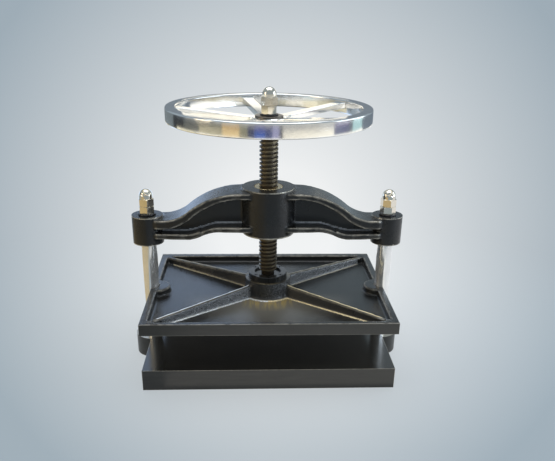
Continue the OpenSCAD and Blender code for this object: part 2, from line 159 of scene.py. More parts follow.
class PressRing(bpy.types.PropertyGroup):
    """Sizes of the split ring and its screws."""
    hole: length("Hole", "Radius of the hole round the screw's neck", 13.3)
    recess: length("Recess radius", "Radius of the recess in the ring's top", 26.5)
    recess_depth: length("Recess depth", "Depth of the recess in the ring's top", 4)
    edge: length("Edge", "Width of the ring's chamfer", 1)
    gap: length("Gap", "Half of the gap between the two halves", 0.5)
    head: length("Head radius", "Radius of a screw's head", 4.25)
    head_height: length("Head height", "Height of a screw's head", 5)
    head_room: length("Head hole", "Radius of the hole for a screw's head", 4.45)
    shank: length("Shank radius", "Radius of a screw's shank", 2.5)
    shank_room: length("Shank hole", "Radius of the hole for a screw's shank", 2.7)
    tapped: length("Tapped hole", "Radius of a screw's hole in the platen", 2.55)
    tapped_depth: length("Tapped depth", "Depth of a screw's hole in the platen", 12)
    key: length("Key size", "Width across the flats of the hexagon hole in a head", 4)
    key_depth: length("Key depth", "Depth of the hexagon hole in a head", 2.5)


class PressScrew(bpy.types.PropertyGroup):
    """Sizes of the screw and its nut."""
    lead: length("Lead", "Travel of the screw in one turn", 8)
    crest: length("Crest radius", "Outer radius of the thread", 18)
    root: length("Root radius", "Radius at the bottom of the thread", 15)
    crest_land: share("Crest width", "Width of the crest, as a share of the lead", 0.40)
    flank: share("Flank width", "Width of one flank, as a share of the lead", 0.10)
    play: length("Thread play", "Gap between the screw's and the nut's threads", 0.15)
    steps: IntProperty(name="Steps", description="Steps in one turn of the thread", default=64, min=16)
    head: length("Head radius", "Radius of the head that turns in the platen", 22)
    neck: length("Neck radius", "Radius of the neck under the thread", 13)
    seat: length("Seat radius", "Radius of the seat for the handwheel", 14)
    stud: length("Stud radius", "Radius of the threaded end over the handwheel", 9)
    nip: length("Chamfer", "Width of the screw's chamfers", 1)


class PressWheel(bpy.types.PropertyGroup):
    """Sizes of the handwheel."""
    radius: length("Radius", "Outer radius of the wheel", 190)
    rim: length("Rim thickness", "Thickness of the rim", 20)
    rim_height: length("Rim height", "Height of the rim", 26.5)
    rim_round: length("Rim rounding", "Corner radius of the rim", 2.5)
    spokes: IntProperty(name="Spokes", description="Number of spokes", default=5, min=3)
    first: angle("First spoke", "Direction of the first spoke", 32.5)
    spoke_width: length("Spoke width", "Width of a spoke", 22)
    spoke: length("Spoke thickness", "Thickness of a spoke", 11)
    rise: length("Spoke rise", "How far the spokes rise to the rim", 16)
    flare: length("Spoke flare", "How much wider a spoke is on each side at its ends", 5)
    flare_run: length("Flare length", "Length over which a spoke widens", 9)
    hub: length("Hub radius", "Radius of the hub", 34)
    face: length("Face radius", "Radius of the raised face on the hub", 26.5)
    face_rise: length("Face rise", "Height of the raised face over the hub", 2.5)
    seat: length("Seat radius", "Radius of the bore for the screw's seat", 14.05)


class PressColumns(bpy.types.PropertyGroup):
    """Sizes of the columns."""
    radius: length("Radius", "Radius of a column", 15)
    end: length("End radius", "Radius of a column's threaded ends", 9)
    edge: length("Edge", "Width of a column's chamfers", 0.8)


class PressNuts(bpy.types.PropertyGroup):
    """Sizes of the nuts and washers."""
    flats: length("Across flats", "Width of a nut across its flats", 27)
    height: length("Nut height", "Height of a plain nut", 15)
    cap: length("Cap nut height", "Height of a cap nut", 33)
    bore: length("Bore", "Radius of a nut's hole", 9.05)
    washer: length("Washer radius", "Outer radius of a washer", 17)
    washer_height: length("Washer", "Thickness of a washer", 3)
    washer_bore: length("Washer bore", "Radius of a washer's hole", 9.2)
    left_nut: angle("Left nut turn", "Turn of the left column's plain nut", -19)
    left_cap: angle("Left cap turn", "Turn of the left column's cap nut", -17)
    right_nut: angle("Right nut turn", "Turn of the right column's plain nut", -12)
    right_cap: angle("Right cap turn", "Turn of the right column's cap nut", -23)
    wheel_nut: angle("Wheel nut turn", "Turn of the wheel's plain nut", 21)
    wheel_cap: angle("Wheel cap turn", "Turn of the wheel's cap nut", -7)


class PressFinish(bpy.types.PropertyGroup):
    """Colours and wear of the finishes."""
    paint: colour("Paint", "Colour of the black paint", (0.0075, 0.0090, 0.0105))
    planed: colour("Planed faces", "Colour of the blackened machined faces", (0.0290, 0.0285, 0.0255))
    # This colour paints light on the yoke's lower flange, brightest along the web's foot.
    ledge_light: colour("Painted ledge light", "Colour of the dust on the yoke's lower flange", (0.30, 0.34, 0.39))
    # This colour is also that of the painted highlights along the edges of castings and machined blocks.
    worn: colour("Worn edge", "Colour of the metal under the worn paint", (0.66, 0.62, 0.53))
    # The next two colours paint the ribs' highlights: golden where the warm lamp on the left falls, bluish
    # where the lamp on the right falls.
    golden_highlight: colour("Golden rib highlight", "Colour of bare ribs that look left", (0.95, 0.80, 0.48))
    bluish_highlight: colour("Bluish rib highlight", "Colour of bare ribs that look right", (0.80, 0.87, 0.96))
    # This share also sets the painted highlights along the castings' edges.
    wear: share("Edge wear and highlight", "How much paint is gone from the edges", 0.60)
    chrome: colour("Chrome", "Colour of the polished plate", (0.83, 0.83, 0.82))
    nickel: colour("Nickel", "Colour of the plating on nuts", (0.80, 0.745, 0.64))
    # The next two colours make the thread darker at its root and lighter on its crests.
    oil: colour("Oil", "Colour of old oil in the thread", (0.040, 0.030, 0.020))
    crest: colour("Thread crest", "Colour of the thread's rubbed crests", (0.165, 0.135, 0.082))
    steel: colour("Steel", "Colour of the dark washers and screws", (0.075, 0.075, 0.08))
    ring_dark: colour("Dark rings", "Colour of the dark rings on the turned face", (0.07, 0.062, 0.055))
    ring_light: colour("Light rings", "Colour of the light rings on the turned face", (0.30, 0.27, 0.23))
    bronze: colour("Bronze", "Colour of the bronze", (0.62, 0.50, 0.29))
    # The next two colours paint a pale sheen and golden reflection streaks on the floor in front of the
    # platen's hub.
    hub_sheen: colour("Oil film", "Colour of the dried oil in front of the platen's hub", (0.215, 0.207, 0.18))
    reflection_streak_colour: colour("Painted reflection streaks", "Colour of the oil marks next to the platen's hub", (0.36, 0.28, 0.11))


class PressStage(bpy.types.PropertyGroup):
    """The studio and the camera."""
    lens: FloatProperty(name="Lens", description="Focal length in millimetres", default=40.67)
    sensor: FloatProperty(name="Sensor", description="Sensor width in millimetres", default=36)
    shift_x: FloatProperty(name="Shift X", description="Sideways shift of the camera", default=-0.0022)
    shift_y: FloatProperty(name="Shift Y", description="Upward shift of the camera", default=0.0693)
    place: FloatVectorProperty(
        name="Place", description="Place of the camera", default=(-0.03552, -1.17685, 0.67319),
        size=3, subtype="TRANSLATION")
    pitch: FloatProperty(
        name="Pitch", description="How far the camera looks down", default=0.396, subtype="ANGLE")
    yaw: FloatProperty(
        name="Yaw", description="How far the camera looks right", default=0.049, subtype="ANGLE")
    roll: FloatProperty(name="Roll", description="Roll of the camera", default=0.016, subtype="ANGLE")
    # These two colours paint a pool of light on the floor, backdrop and world: pale behind the press and
    # darker all round.
    middle: colour("Middle", "Colour of the floor and backdrop behind the press", (0.86, 0.875, 0.88))
    corner: colour("Corner", "Colour of the floor and backdrop far from the press", (0.345, 0.415, 0.470))
    spread: FloatProperty(
        name="Spread", description="Angle over which the pale middle fades", default=0.48, subtype="ANGLE")
    raised: FloatProperty(
        name="Raised", description="How far the pale middle lies above the camera's aim", default=0.068,
        subtype="ANGLE")
    daylight: share("Room light", "Strength of the even light from all sides", 0.60)


# Modelling by hand: selecting, placing and shaping

def object_mode():
    if bpy.context.mode != "OBJECT":
        bpy.ops.object.mode_set(mode="OBJECT")


def begin():
    """Deselects everything, so that the next primitive is alone."""
    object_mode()
    bpy.ops.object.select_all(action="DESELECT")


def only(obj):
    """Selects this object and nothing else."""
    begin()
    obj.select_set(True)
    bpy.context.view_layer.objects.active = obj


def settle(obj):
    """Puts an object's place, turn and size into its mesh."""
    only(obj)
    bpy.ops.object.transform_apply(location=True, rotation=True, scale=True)
    return obj


def named(name):
    """The primitive that was just added, under its name and at the origin."""
    obj = bpy.context.object
    obj.name = name
    obj.data.name = name
    return settle(obj)


def edit(obj, action="SELECT"):
    """Edit mode with all of the object's mesh selected, or with none of it."""
    only(obj)
    bpy.ops.object.mode_set(mode="EDIT")
    bpy.ops.mesh.select_all(action=action)


def face_outwards(obj):
    """Merges doubles and turns every face outwards."""
    edit(obj)
    bpy.ops.mesh.remove_doubles(threshold=TINY)
    bpy.ops.mesh.normals_make_consistent(inside=False)
    object_mode()
    return obj


def block(name, low, high):
    """A box between two corners."""
    begin()
    low, high = Vector(low), Vector(high)
    bpy.ops.mesh.primitive_cube_add(size=1, location=(low + high) / 2)
    bpy.context.object.scale = high - low
    return named(name)


def rod(name, x, y, radius, low, high, sides=96, turn=0.0):
    """An upright round or many-sided bar."""
    begin()
    bpy.ops.mesh.primitive_cylinder_add(
        vertices=sides, radius=radius, depth=high - low,
        location=(x, y, (low + high) / 2), rotation=(0, 0, turn))
    return named(name)


def extrude(direction):
    """Extrudes what is selected."""
    bpy.ops.mesh.extrude_region_move(TRANSFORM_OT_translate={"value": direction})


def turned(name, outline, sides=128, ring=False, x=0.0):
    """A turned part: its outline is radius and height, from the bottom up. A ring's ends where it starts."""
    begin()
    radius, height = outline[0]
    bpy.ops.mesh.primitive_circle_add(
        vertices=sides, radius=radius, location=(0, 0, height),
        fill_type="NOTHING" if ring else "NGON")
    obj = named(name)
    edit(obj)
    for (r0, z0), (r1, z1) in zip(outline, outline[1:]):
        extrude((0, 0, z1 - z0))
        if abs(r1 - r0) > TINY / 10:
            bpy.ops.transform.resize(value=(r1 / r0, r1 / r0, 1), center_override=(0, 0, z1))
    face_outwards(obj)
    return moved(obj, x) if x else obj


def moved(obj, x):
    """Puts a part that was made on the middle axis at its place to the side."""
    obj.location.x = x
    return settle(obj)


def drawn(name, points, thickness=None):
    """A line drawn point by point, or a solid where its outline is extruded along a direction."""
    begin()
    bpy.ops.mesh.primitive_plane_add(size=MM, location=points[0])
    obj = named(name)
    edit(obj)
    bpy.context.tool_settings.mesh_select_mode = (True, False, False)
    bpy.ops.mesh.merge(type="CENTER")
    for a, b in zip(points, points[1:]):
        bpy.ops.mesh.extrude_vertices_move(TRANSFORM_OT_translate={"value": b - a})
    bpy.ops.mesh.select_all(action="SELECT")
    if thickness is None:
        object_mode()
        return obj
    bpy.ops.mesh.edge_face_add()
    extrude(thickness)
    return face_outwards(obj)


def apply(obj, kind, **values):
    """Adds one modifier, sets it and applies it."""
    only(obj)
    modifier = obj.modifiers.new(kind.title(), kind)
    for key, value in values.items():
        setattr(modifier, key, value)
    bpy.ops.object.modifier_apply(modifier=modifier.name)
    return obj


def combine(obj, tool, operation):
    """Adds, cuts or intersects with a tool, which is then gone."""
    apply(obj, "BOOLEAN", object=tool, operation=operation, solver="MANIFOLD")
    if not obj.data.polygons:
        raise RuntimeError(f"{obj.name}: nothing is left after {operation} with {tool.name}")
    bpy.data.objects.remove(tool)
    return obj


def add(obj, tool):
    return combine(obj, tool, "UNION")


def cut(obj, tool):
    return combine(obj, tool, "DIFFERENCE")


def keep_inside(obj, tool):
    return combine(obj, tool, "INTERSECT")


def break_edges(obj, width, segments=2, sharp=30):
    """Rounds the sharp edges of a machined part."""
    return apply(
        obj, "BEVEL", width=width, segments=segments, limit_method="ANGLE",
        angle_limit=math.radians(sharp), harden_normals=False)


def bevel_where(obj, width, segments, test):
    """Bevels the edges that pass a test."""
    edit(obj, "DESELECT")
    bpy.context.tool_settings.mesh_select_mode = (False, True, False)
    mesh = bmesh.from_edit_mesh(obj.data)
    for edge in mesh.edges:
        edge.select_set(test(edge))
    bmesh.update_edit_mesh(obj.data)
    bpy.ops.mesh.bevel(offset=width, segments=segments, affect="EDGES", clamp_overlap=True)
    object_mode()


def break_where(obj, width, test):
    """Breaks the sharp edges whose two ends pass a test on their place."""
    sharp = math.radians(50)
    bevel_where(
        obj, width, 2, lambda edge: len(edge.link_faces) == 2 and edge.calc_face_angle(0) > sharp
        and all(test(corner.co) for corner in edge.verts))


def round_uprights(obj, radius):
    """Rounds the upright edges of a block."""
    def stands(edge):
        run = edge.verts[1].co - edge.verts[0].co
        return abs(run.z) > TINY and run.xy.length < TINY

    bevel_where(obj, radius, 6, stands)


def shade(obj, degrees=35):
    """Smooth shading that leaves large flat faces flat, so that polish reflects as it should."""
    only(obj)
    bpy.ops.object.shade_smooth_by_angle(angle=math.radians(degrees))
    return apply(obj, "WEIGHTED_NORMAL", mode="FACE_AREA", weight=50, keep_sharp=True)


def cast(obj, sizes):
    """Turns sharp solids into a casting: one skin, with rounded edges and filled corners."""
    apply(obj, "REMESH", mode="VOXEL", voxel_size=sizes.voxel)
    return apply(obj, "SMOOTH", factor=0.5, iterations=sizes.softening)


def copy_of(obj, name):
    """A copy with its own mesh."""
    only(obj)
    bpy.ops.object.duplicate(linked=False)
    return named(name)


def finish_piece(obj, body, material, replaces):
    """Gives a piece its finish and body, and the nodes that it stands for."""
    obj.data.materials.clear()
    obj.data.materials.append(material)
    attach(obj, body)
    if replaces:
        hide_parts(*replaces)


def paint_faces(obj, material, test):
    """Gives some faces a finish of their own: test gets a face's middle and normal."""
    obj.data.materials.append(material)
    index = len(obj.data.materials) - 1
    for face in obj.data.polygons:
        if test(face.center, face.normal):
            face.material_index = index


def dress_node(node, material):
    """Gives a CAD node its finish, and leaves its mesh as it is."""
    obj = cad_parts[node]
    if not obj.material_slots:
        obj.data.materials.append(material)
    for entry in obj.material_slots:
        entry.material = material


# Shader nodes

def feed(tree, socket, value):
    """Gives a socket a fixed value, or links another socket to it."""
    if isinstance(value, bpy.types.NodeSocket):
        tree.links.new(value, socket)
    else:
        socket.default_value = value


def noise(tree, vector, scale, detail, roughness=0.55):
    node = tree.nodes.new("ShaderNodeTexNoise")
    for key, value in (("Vector", vector), ("Scale", scale), ("Detail", detail), ("Roughness", roughness)):
        feed(tree, node.inputs[key], value)
    return node.outputs["Fac"]


def remap(tree, value, low, high, to_low=0.0, to_high=1.0):
    """Stretches a range of values to another, and holds what lies outside at its ends."""
    node = tree.nodes.new("ShaderNodeMapRange")
    for key, number in (
            ("Value", value), ("From Min", low), ("From Max", high), ("To Min", to_low), ("To Max", to_high)):
        feed(tree, node.inputs[key], number)
    return node.outputs["Result"]


def maths(tree, operation, *values):
    node = tree.nodes.new("ShaderNodeMath")
    node.operation = operation
    for socket, value in zip(node.inputs, values):
        feed(tree, socket, value)
    return node.outputs["Value"]


def product(tree, first, *others):
    for other in others:
        first = maths(tree, "MULTIPLY", first, other)
    return first


def vector_maths(tree, operation, *values):
    node = tree.nodes.new("ShaderNodeVectorMath")
    node.operation = operation
    for socket, value in zip(node.inputs, values):
        feed(tree, socket, value)
    return node.outputs["Value" if operation in ("DOT_PRODUCT", "LENGTH") else "Vector"]


def split(tree, vector):
    """The three parts of a vector."""
    parts = tree.nodes.new("ShaderNodeSeparateXYZ")
    tree.links.new(vector, parts.inputs["Vector"])
    return parts.outputs["X"], parts.outputs["Y"], parts.outputs["Z"]


def axis_distance(tree, vector):
    """Distance from the press's middle axis."""
    x, y, _ = split(tree, vector)
    return maths(
        tree, "SQRT", maths(tree, "ADD", maths(tree, "POWER", x, 2.0), maths(tree, "POWER", y, 2.0)))


def solid(value):
    return (*value, 1.0)


def blend_colours(tree, fac, a, b):
    """A mix of two colours, each a socket or a fixed colour."""
    node = tree.nodes.new("ShaderNodeMix")
    node.data_type = "RGBA"
    tree.links.new(fac, node.inputs["Factor"])
    for name, value in (("A", a), ("B", b)):
        socket = next(s for s in node.inputs if s.name == name and s.type == "RGBA")
        feed(tree, socket, value if isinstance(value, bpy.types.NodeSocket) else solid(value))
    return next(s for s in node.outputs if s.type == "RGBA")


def stretched(tree, vector, scale):
    """Coordinates that draw a pattern out into streaks."""
    node = tree.nodes.new("ShaderNodeMapping")
    node.inputs["Scale"].default_value = scale
    tree.links.new(vector, node.inputs["Vector"])
    return node.outputs["Vector"]


def bump(tree, shader, height, distance):
    node = tree.nodes.new("ShaderNodeBump")
    node.inputs["Distance"].default_value = distance
    tree.links.new(height, node.inputs["Height"])
    tree.links.new(node.outputs["Normal"], shader.inputs["Normal"])


# Effects that several finishes share, each a node group

def group(name, output, **inputs):
    """A node group that reads a vector and some values, and puts out one value."""
    tree = bpy.data.node_groups.new(name, "ShaderNodeTree")
    for label, value in {"Vector": (0, 0, 0), **inputs}.items():
        kind = "NodeSocketFloat" if isinstance(value, float) else "NodeSocketVector"
        tree.interface.new_socket(name=label, in_out="INPUT", socket_type=kind).default_value = value
    tree.interface.new_socket(name=output, in_out="OUTPUT", socket_type="NodeSocketFloat")
    return tree, tree.nodes.new("NodeGroupInput").outputs, tree.nodes.new("NodeGroupOutput").inputs[output]


def effect(tree, build, vector, **values):
    """Places a shared effect in a material, with its own values."""
    node = tree.nodes.new("ShaderNodeGroup")
    node.node_tree = build()
    for key, value in {"Vector": vector, **values}.items():
        feed(tree, node.inputs[key], value)
    return node.outputs[0]


@cache
def edge_wear_and_highlight():
    """Where paint is rubbed from a casting's edges, and where a bright line along an edge is painted as a
    highlight: a mask from the surface's bend and a noise.
    """
    tree, given, mask = group("Edge wear and highlight", "Mask", Amount=0.5)
    bend = tree.nodes.new("ShaderNodeNewGeometry").outputs["Pointiness"]
    patches = remap(tree, noise(tree, given["Vector"], 70, 5), 0.34, 0.56, 0.15, 1.0)
    feed(tree, mask, product(tree, remap(tree, bend, 0.510, 0.548), patches, given["Amount"]))
    return tree


@cache
def box_edge_wear_and_highlight():
    """Where a machined block is rubbed bright, with a painted highlight along its edges: near two of its
    faces at once.
    """
    tree, given, mask = group(
        "Box edge wear and highlight", "Mask", Middle=(0, 0, 0), Half=(1, 1, 1), Width=0.001, Amount=0.5)
    offset = vector_maths(tree, "SUBTRACT", given["Vector"], given["Middle"])
    inside = vector_maths(tree, "SUBTRACT", given["Half"], vector_maths(tree, "ABSOLUTE", offset))
    x, y, z = split(tree, inside)
    least, most = maths(tree, "MINIMUM", x, y), maths(tree, "MAXIMUM", x, y)
    second = maths(tree, "MAXIMUM", least, maths(tree, "MINIMUM", most, z))
    reach = product(tree, noise(tree, given["Vector"], 130, 5), 2.0, given["Width"])
    near = maths(tree, "SUBTRACT", 1.0, maths(tree, "DIVIDE", second, reach))
    feed(tree, mask, product(tree, remap(tree, near, 0.0, 0.7), given["Amount"]))
    return tree


@cache
def cast_grain():
    """The skin of painted cast iron: a pebbly grain on slow waves."""
    tree, given, height = group("Cast grain", "Height", Grain=0.5, Waves=0.5)
    fine = product(tree, noise(tree, given["Vector"], 520, 3, 0.6), given["Grain"])
    slow = product(tree, noise(tree, given["Vector"], 42, 2), given["Waves"])
    feed(tree, height, maths(tree, "ADD", fine, slow))
    return tree


@cache
def smudges():
    """Uneven gloss from handling: a roughness that wanders round its base."""
    tree, given, rough = group("Smudges", "Roughness", Base=0.3, Spread=0.1)
    large = product(tree, noise(tree, given["Vector"], 9, 3), 0.65)
    small = product(tree, noise(tree, given["Vector"], 55, 4), 0.35)
    centred = maths(tree, "SUBTRACT", maths(tree, "ADD", large, small), 0.5)
    feed(tree, rough, maths(tree, "ADD", product(tree, centred, given["Spread"]), given["Base"]))
    return tree


# Finishes: each shader stays in its own material

def new_material(name):
    """An empty material with its shader and Object coordinates."""
    material = bpy.data.materials.new(name)
    material.use_nodes = True
    tree = material.node_tree
    shader = next(n for n in tree.nodes if n.type == "BSDF_PRINCIPLED")
    vector = tree.nodes.new("ShaderNodeTexCoord").outputs["Object"]
    return material, tree, shader, vector


def rib_highlights(tree, vector, floor, lean):
    """Painted highlights on the platen's ribs and hub, drawn as bright metal: a line along the far edge of
    each rib's top, a broken line round every foot, and glinting flecks on faces that look right, towards the
    light. Also the share of the bluish over the golden highlight colour."""
    sizes = bpy.context.scene.press_platen
    x, y, z = split(tree, vector)
    radius = axis_distance(tree, vector)
    looks_x, looks_y, looks_up = split(tree, tree.nodes.new("ShaderNodeTexCoord").outputs["Normal"])
    along, aside = math.cos(lean), math.sin(lean)
    looks_right = maths(tree, "SUBTRACT", product(tree, looks_x, aside), product(tree, looks_y, along))
    bluish_light_share = remap(tree, looks_right, 0.50, 0.92)
    grains = noise(tree, vector, 640, 3, 0.7)
    specks = product(
        tree, remap(tree, grains, 0.49, 0.68, 0.05, 1.0), bluish_light_share,
        remap(tree, radius, sizes.hub + MM, sizes.hub + 6 * MM, 0.22, 0.55))
    across = maths(
        tree, "SUBTRACT", product(tree, maths(tree, "ABSOLUTE", x), aside),
        product(tree, maths(tree, "ABSOLUTE", y), along))
    behind = product(tree, across, maths(tree, "SIGN", y), -1.0)
    top = product(
        tree, remap(tree, behind, -1.0 * MM, 0.2 * MM), remap(tree, behind, 5.6 * MM, 4.8 * MM),
        remap(tree, radius, sizes.hub - MM, sizes.hub + 2 * MM), remap(tree, looks_up, 0.3, 0.6),
        remap(tree, y, 20 * MM, -20 * MM, 0.25, 1.0))
    foot = product(
        tree, remap(tree, z, floor + 2.6 * MM, floor + 1.6 * MM), remap(tree, grains, 0.40, 0.54, 0.25, 1.0),
        remap(tree, maths(tree, "SUBTRACT", product(tree, bluish_light_share, 40 * MM), y), 0.0, 30 * MM, 0.35, 1.0))
    same_side = remap(tree, product(tree, x, y), -10 * MM * MM, 10 * MM * MM)
    lines = maths(tree, "MAXIMUM", top, foot)
    bluish_light_share = maths(tree, "MAXIMUM", bluish_light_share, product(tree, lines, same_side))
    return maths(tree, "MAXIMUM", specks, lines), bluish_light_share


def painted_hub_reflection(tree, vector, start, end):
    """Painted reflection in the floor in front of the hub: golden streaks that run towards the front, and a
    pale painted sheen round them.
    """
    x, y, _ = split(tree, vector)
    radius = axis_distance(tree, vector)
    streaks = product(
        tree, remap(tree, radius, start - 3 * MM, start), remap(tree, radius, end, start + 8 * MM),
        remap(tree, maths(tree, "ABSOLUTE", x), 62 * MM, 35 * MM), remap(tree, y, 0.0, -20 * MM),
        remap(tree, noise(tree, stretched(tree, vector, (1, 0.12, 0)), 95, 3), 0.44, 0.58, 0.15, 0.9))
    hub_sheen = product(
        tree, remap(tree, radius, 3.2 * start, start, 0.0, 0.8), remap(tree, y, -10 * MM, -50 * MM))
    return streaks, hub_sheen


def ledge_painted_light(tree, vector, web):
    """Painted light on a flange: a bright line along the foot of a web of this thickness, and a tenth of it
    further out.
    """
    away = maths(tree, "ABSOLUTE", split(tree, vector)[1])
    return product(
        tree, remap(tree, away, web / 2 + 4 * MM, web / 2 + 2 * MM, 0.10, 1.0),
        remap(tree, noise(tree, vector, 330, 3, 0.6), 0.35, 0.60, 0.4, 1.0))


def black_iron(name, wear, gloss, grain, waves, shine=0.38, ribs=None, hub_reflection=None, web=None):
    """Black paint on cast iron, rubbed bright along its edges, where the bright edges are partly painted
    highlights.
    """
    looks = bpy.context.scene.press_finish
    material, tree, shader, vector = new_material(name)
    mask = effect(tree, edge_wear_and_highlight, vector, Amount=wear)
    tone = remap(tree, noise(tree, vector, 14, 3), 0.3, 0.7)
    warm = [c * more for c, more in zip(looks.paint, (1.9, 1.5, 1.15))]
    paint = blend_colours(tree, tone, looks.paint, warm)
    if web:
        paint = blend_colours(tree, ledge_painted_light(tree, vector, web), paint, looks.ledge_light)
    metal, metallic = looks.worn, mask
    if ribs:
        # On the ribs and hub the bright metal is painted highlight: golden on faces that look left, bluish on
        # faces that look right.
        bare, bluish_light_share = rib_highlights(tree, vector, *ribs)
        mask = maths(tree, "MAXIMUM", mask, bare)
        metal = blend_colours(tree, bluish_light_share, looks.golden_highlight, looks.bluish_highlight)
        metallic = product(tree, mask, 0.3)
    # Painted reflection of the hub in the platen's floor: golden streaks and a pale sheen round them.
    if hub_reflection:
        streaks, hub_sheen = painted_hub_reflection(tree, vector, *hub_reflection)
        paint = blend_colours(tree, hub_sheen, paint, looks.hub_sheen)
        paint = blend_colours(tree, streaks, paint, looks.reflection_streak_colour)
    feed(tree, shader.inputs["Base Color"], blend_colours(tree, mask, paint, metal))
    feed(tree, shader.inputs["Metallic"], metallic)
    shader.inputs["Specular IOR Level"].default_value = shine
    rough = effect(tree, smudges, vector, Base=gloss, Spread=0.10)
    feed(tree, shader.inputs["Roughness"], maths(tree, "ADD", rough, product(tree, mask, 0.14)))
    bump(tree, shader, effect(tree, cast_grain, vector, Grain=grain, Waves=waves), 0.6 * MM)
    return material


def planed_iron(name, low, high, gloss, marks, wear=0.5, shine=0.5):
    """Blackened machined iron: faint tool marks along the face, painted light that makes it lighter to the
    right, and edges rubbed bright with a painted highlight.
    """
    looks = bpy.context.scene.press_finish
    material, tree, shader, vector = new_material(name)
    mask = effect(
        tree, box_edge_wear_and_highlight, vector, Middle=(low + high) / 2, Half=(high - low) / 2, Width=0.7 * MM, Amount=wear)
    streaky = noise(tree, stretched(tree, vector, (3, 8, 30)), 6, 4)
    # The distance to the right is added to the streaks, a painted light that leaves the machined faces darker
    # on the left and lighter on the right.
    tone = remap(tree, maths(tree, "ADD", streaky, split(tree, vector)[0]), 0.2, 0.7)
    paint = blend_colours(tree, tone, [c * 0.5 for c in looks.planed], looks.planed)
    feed(tree, shader.inputs["Base Color"], blend_colours(tree, mask, paint, looks.worn))
    feed(tree, shader.inputs["Metallic"], mask)
    shader.inputs["Specular IOR Level"].default_value = shine
    feed(tree, shader.inputs["Roughness"], effect(tree, smudges, vector, Base=gloss, Spread=0.12))
    cuts = noise(tree, stretched(tree, vector, (6, 60, 60)), 24, 4)
    bump(tree, shader, product(tree, cuts, marks), 0.2 * MM)
    return material


def bright_metal(name, tint, gloss, spread, waves, grain=0.0, metal=1.0):
    """Polished or brushed metal, with the slight unevenness that hand finishing leaves."""
    material, tree, shader, vector = new_material(name)
    shader.inputs["Metallic"].default_value = metal
    tone = remap(tree, noise(tree, vector, 30, 4), 0.3, 0.7)
    feed(tree, shader.inputs["Base Color"], blend_colours(tree, tone, tint, [c * 0.88 for c in tint]))
    feed(tree, shader.inputs["Roughness"], effect(tree, smudges, vector, Base=gloss, Spread=spread))
    bump(tree, shader, effect(tree, cast_grain, vector, Grain=grain, Waves=waves), 0.4 * MM)
    return material


@cache
def black_cast():
    return black_iron("black_cast", bpy.context.scene.press_finish.wear, 0.27, 0.35, 0.8)


@cache
def ledge_paint_lit():
    scene = bpy.context.scene
    return black_iron("ledge_paint_lit", scene.press_finish.wear, 0.32, 0.35, 0.8, web=scene.press_yoke.web)


@cache
def black_platen():
    sizes = bpy.context.scene.press_platen
    foot = sizes.hub + sizes.fillet
    return black_iron("black_platen", 0.30, 0.25, 0.65, 0.7, shine=0.6, hub_reflection=(foot, foot + 38 * MM))


@cache
def rib_paint_highlit():
    sizes = bpy.context.scene.press_platen
    low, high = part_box("platen")
    lean = math.atan2(high.y - sizes.rim, high.x - sizes.rim)
    return black_iron("rib_paint_highlit", 0.12, 0.27, 0.9, 0.7, shine=0.5, ribs=(low.z + sizes.floor, lean))


@cache
def black_turned():
    return black_iron("black_turned", 0.0, 0.26, 0.10, 0.2)


@cache
def planed_platen():
    low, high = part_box("platen")
    rim_top = low.z + bpy.context.scene.press_platen.rim_height
    return planed_iron("planed_platen", low, Vector((high.x, high.y, rim_top)), 0.36, 0.8, wear=0.3)


def bed_block():
    """The corners of the bed without its lugs."""
    low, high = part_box("base_bed")
    half = bpy.context.scene.press_bed.width / 2
    return Vector((-half, low.y, low.z)), Vector((half, high.y, high.z))


@cache
def planed_bed():
    return planed_iron("planed_bed", *bed_block(), 0.34, 0.8)


@cache
def planed_bed_top():
    return planed_iron("planed_bed_top", *bed_block(), 0.16, 0.25, shine=0.6)


@cache
def chrome():
    return bright_metal("chrome", bpy.context.scene.press_finish.chrome, 0.15, 0.04, 0.15, metal=0.75)


@cache
def wheel_chrome():
    return bright_metal("wheel_chrome", bpy.context.scene.press_finish.chrome, 0.13, 0.05, 0.35, 0.03)


@cache
def nickel():
    return bright_metal("nickel", bpy.context.scene.press_finish.nickel, 0.12, 0.05, 0.3)


@cache
def dark_steel():
    return bright_metal("dark_steel", bpy.context.scene.press_finish.steel, 0.34, 0.12, 0.2, 0.2)


@cache
def bronze():
    return bright_metal("bronze", bpy.context.scene.press_finish.bronze, 0.26, 0.12, 0.2, 0.15)


@cache
def two_tone_thread():
    """Screw thread: darker at the root and lighter on the crests, told apart by the distance to the axis."""
    looks, sizes = bpy.context.scene.press_finish, bpy.context.scene.press_screw
    material, tree, shader, vector = new_material("two_tone_thread")
    depth = remap(tree, axis_distance(tree, vector), sizes.root - 0.2 * MM, sizes.crest - 0.3 * MM)
    mask = product(tree, depth, remap(tree, noise(tree, vector, 48, 5, 0.65), 0.3, 0.72, 0.30, 1.0))
    feed(tree, shader.inputs["Base Color"], blend_colours(tree, mask, looks.oil, looks.crest))
    shader.inputs["Metallic"].default_value = 0.7
    feed(tree, shader.inputs["Roughness"], remap(tree, mask, 0, 1, 0.42, 0.30))
    bump(tree, shader, effect(tree, cast_grain, vector, Grain=0.5, Waves=0.1), 0.4 * MM)
    return material


@cache
def turned_face():
    """A turned steel face: fine dark rings round the axis."""
    looks = bpy.context.scene.press_finish
    ring_step = 1.9 * MM
    material, tree, shader, vector = new_material("turned_face")
    shader.inputs["Metallic"].default_value = 1.0
    rings = maths(tree, "SINE", product(tree, axis_distance(tree, vector), 2 * math.pi / ring_step))
    feed(tree, shader.inputs["Base Color"], blend_colours(
        tree, remap(tree, rings, -1, 1), looks.ring_dark, looks.ring_light))
    feed(tree, shader.inputs["Roughness"], effect(tree, smudges, vector, Base=0.36, Spread=0.15))
    bump(tree, shader, rings, 0.06 * MM)
    return material


# Outlines

def arc(centre, radius, start, end, steps):
    """Points on a circle in a plane, from one angle to another."""
    span = end - start
    return [
        (centre[0] + radius * math.cos(start + span * i / steps),
         centre[1] + radius * math.sin(start + span * i / steps))
        for i in range(steps + 1)]


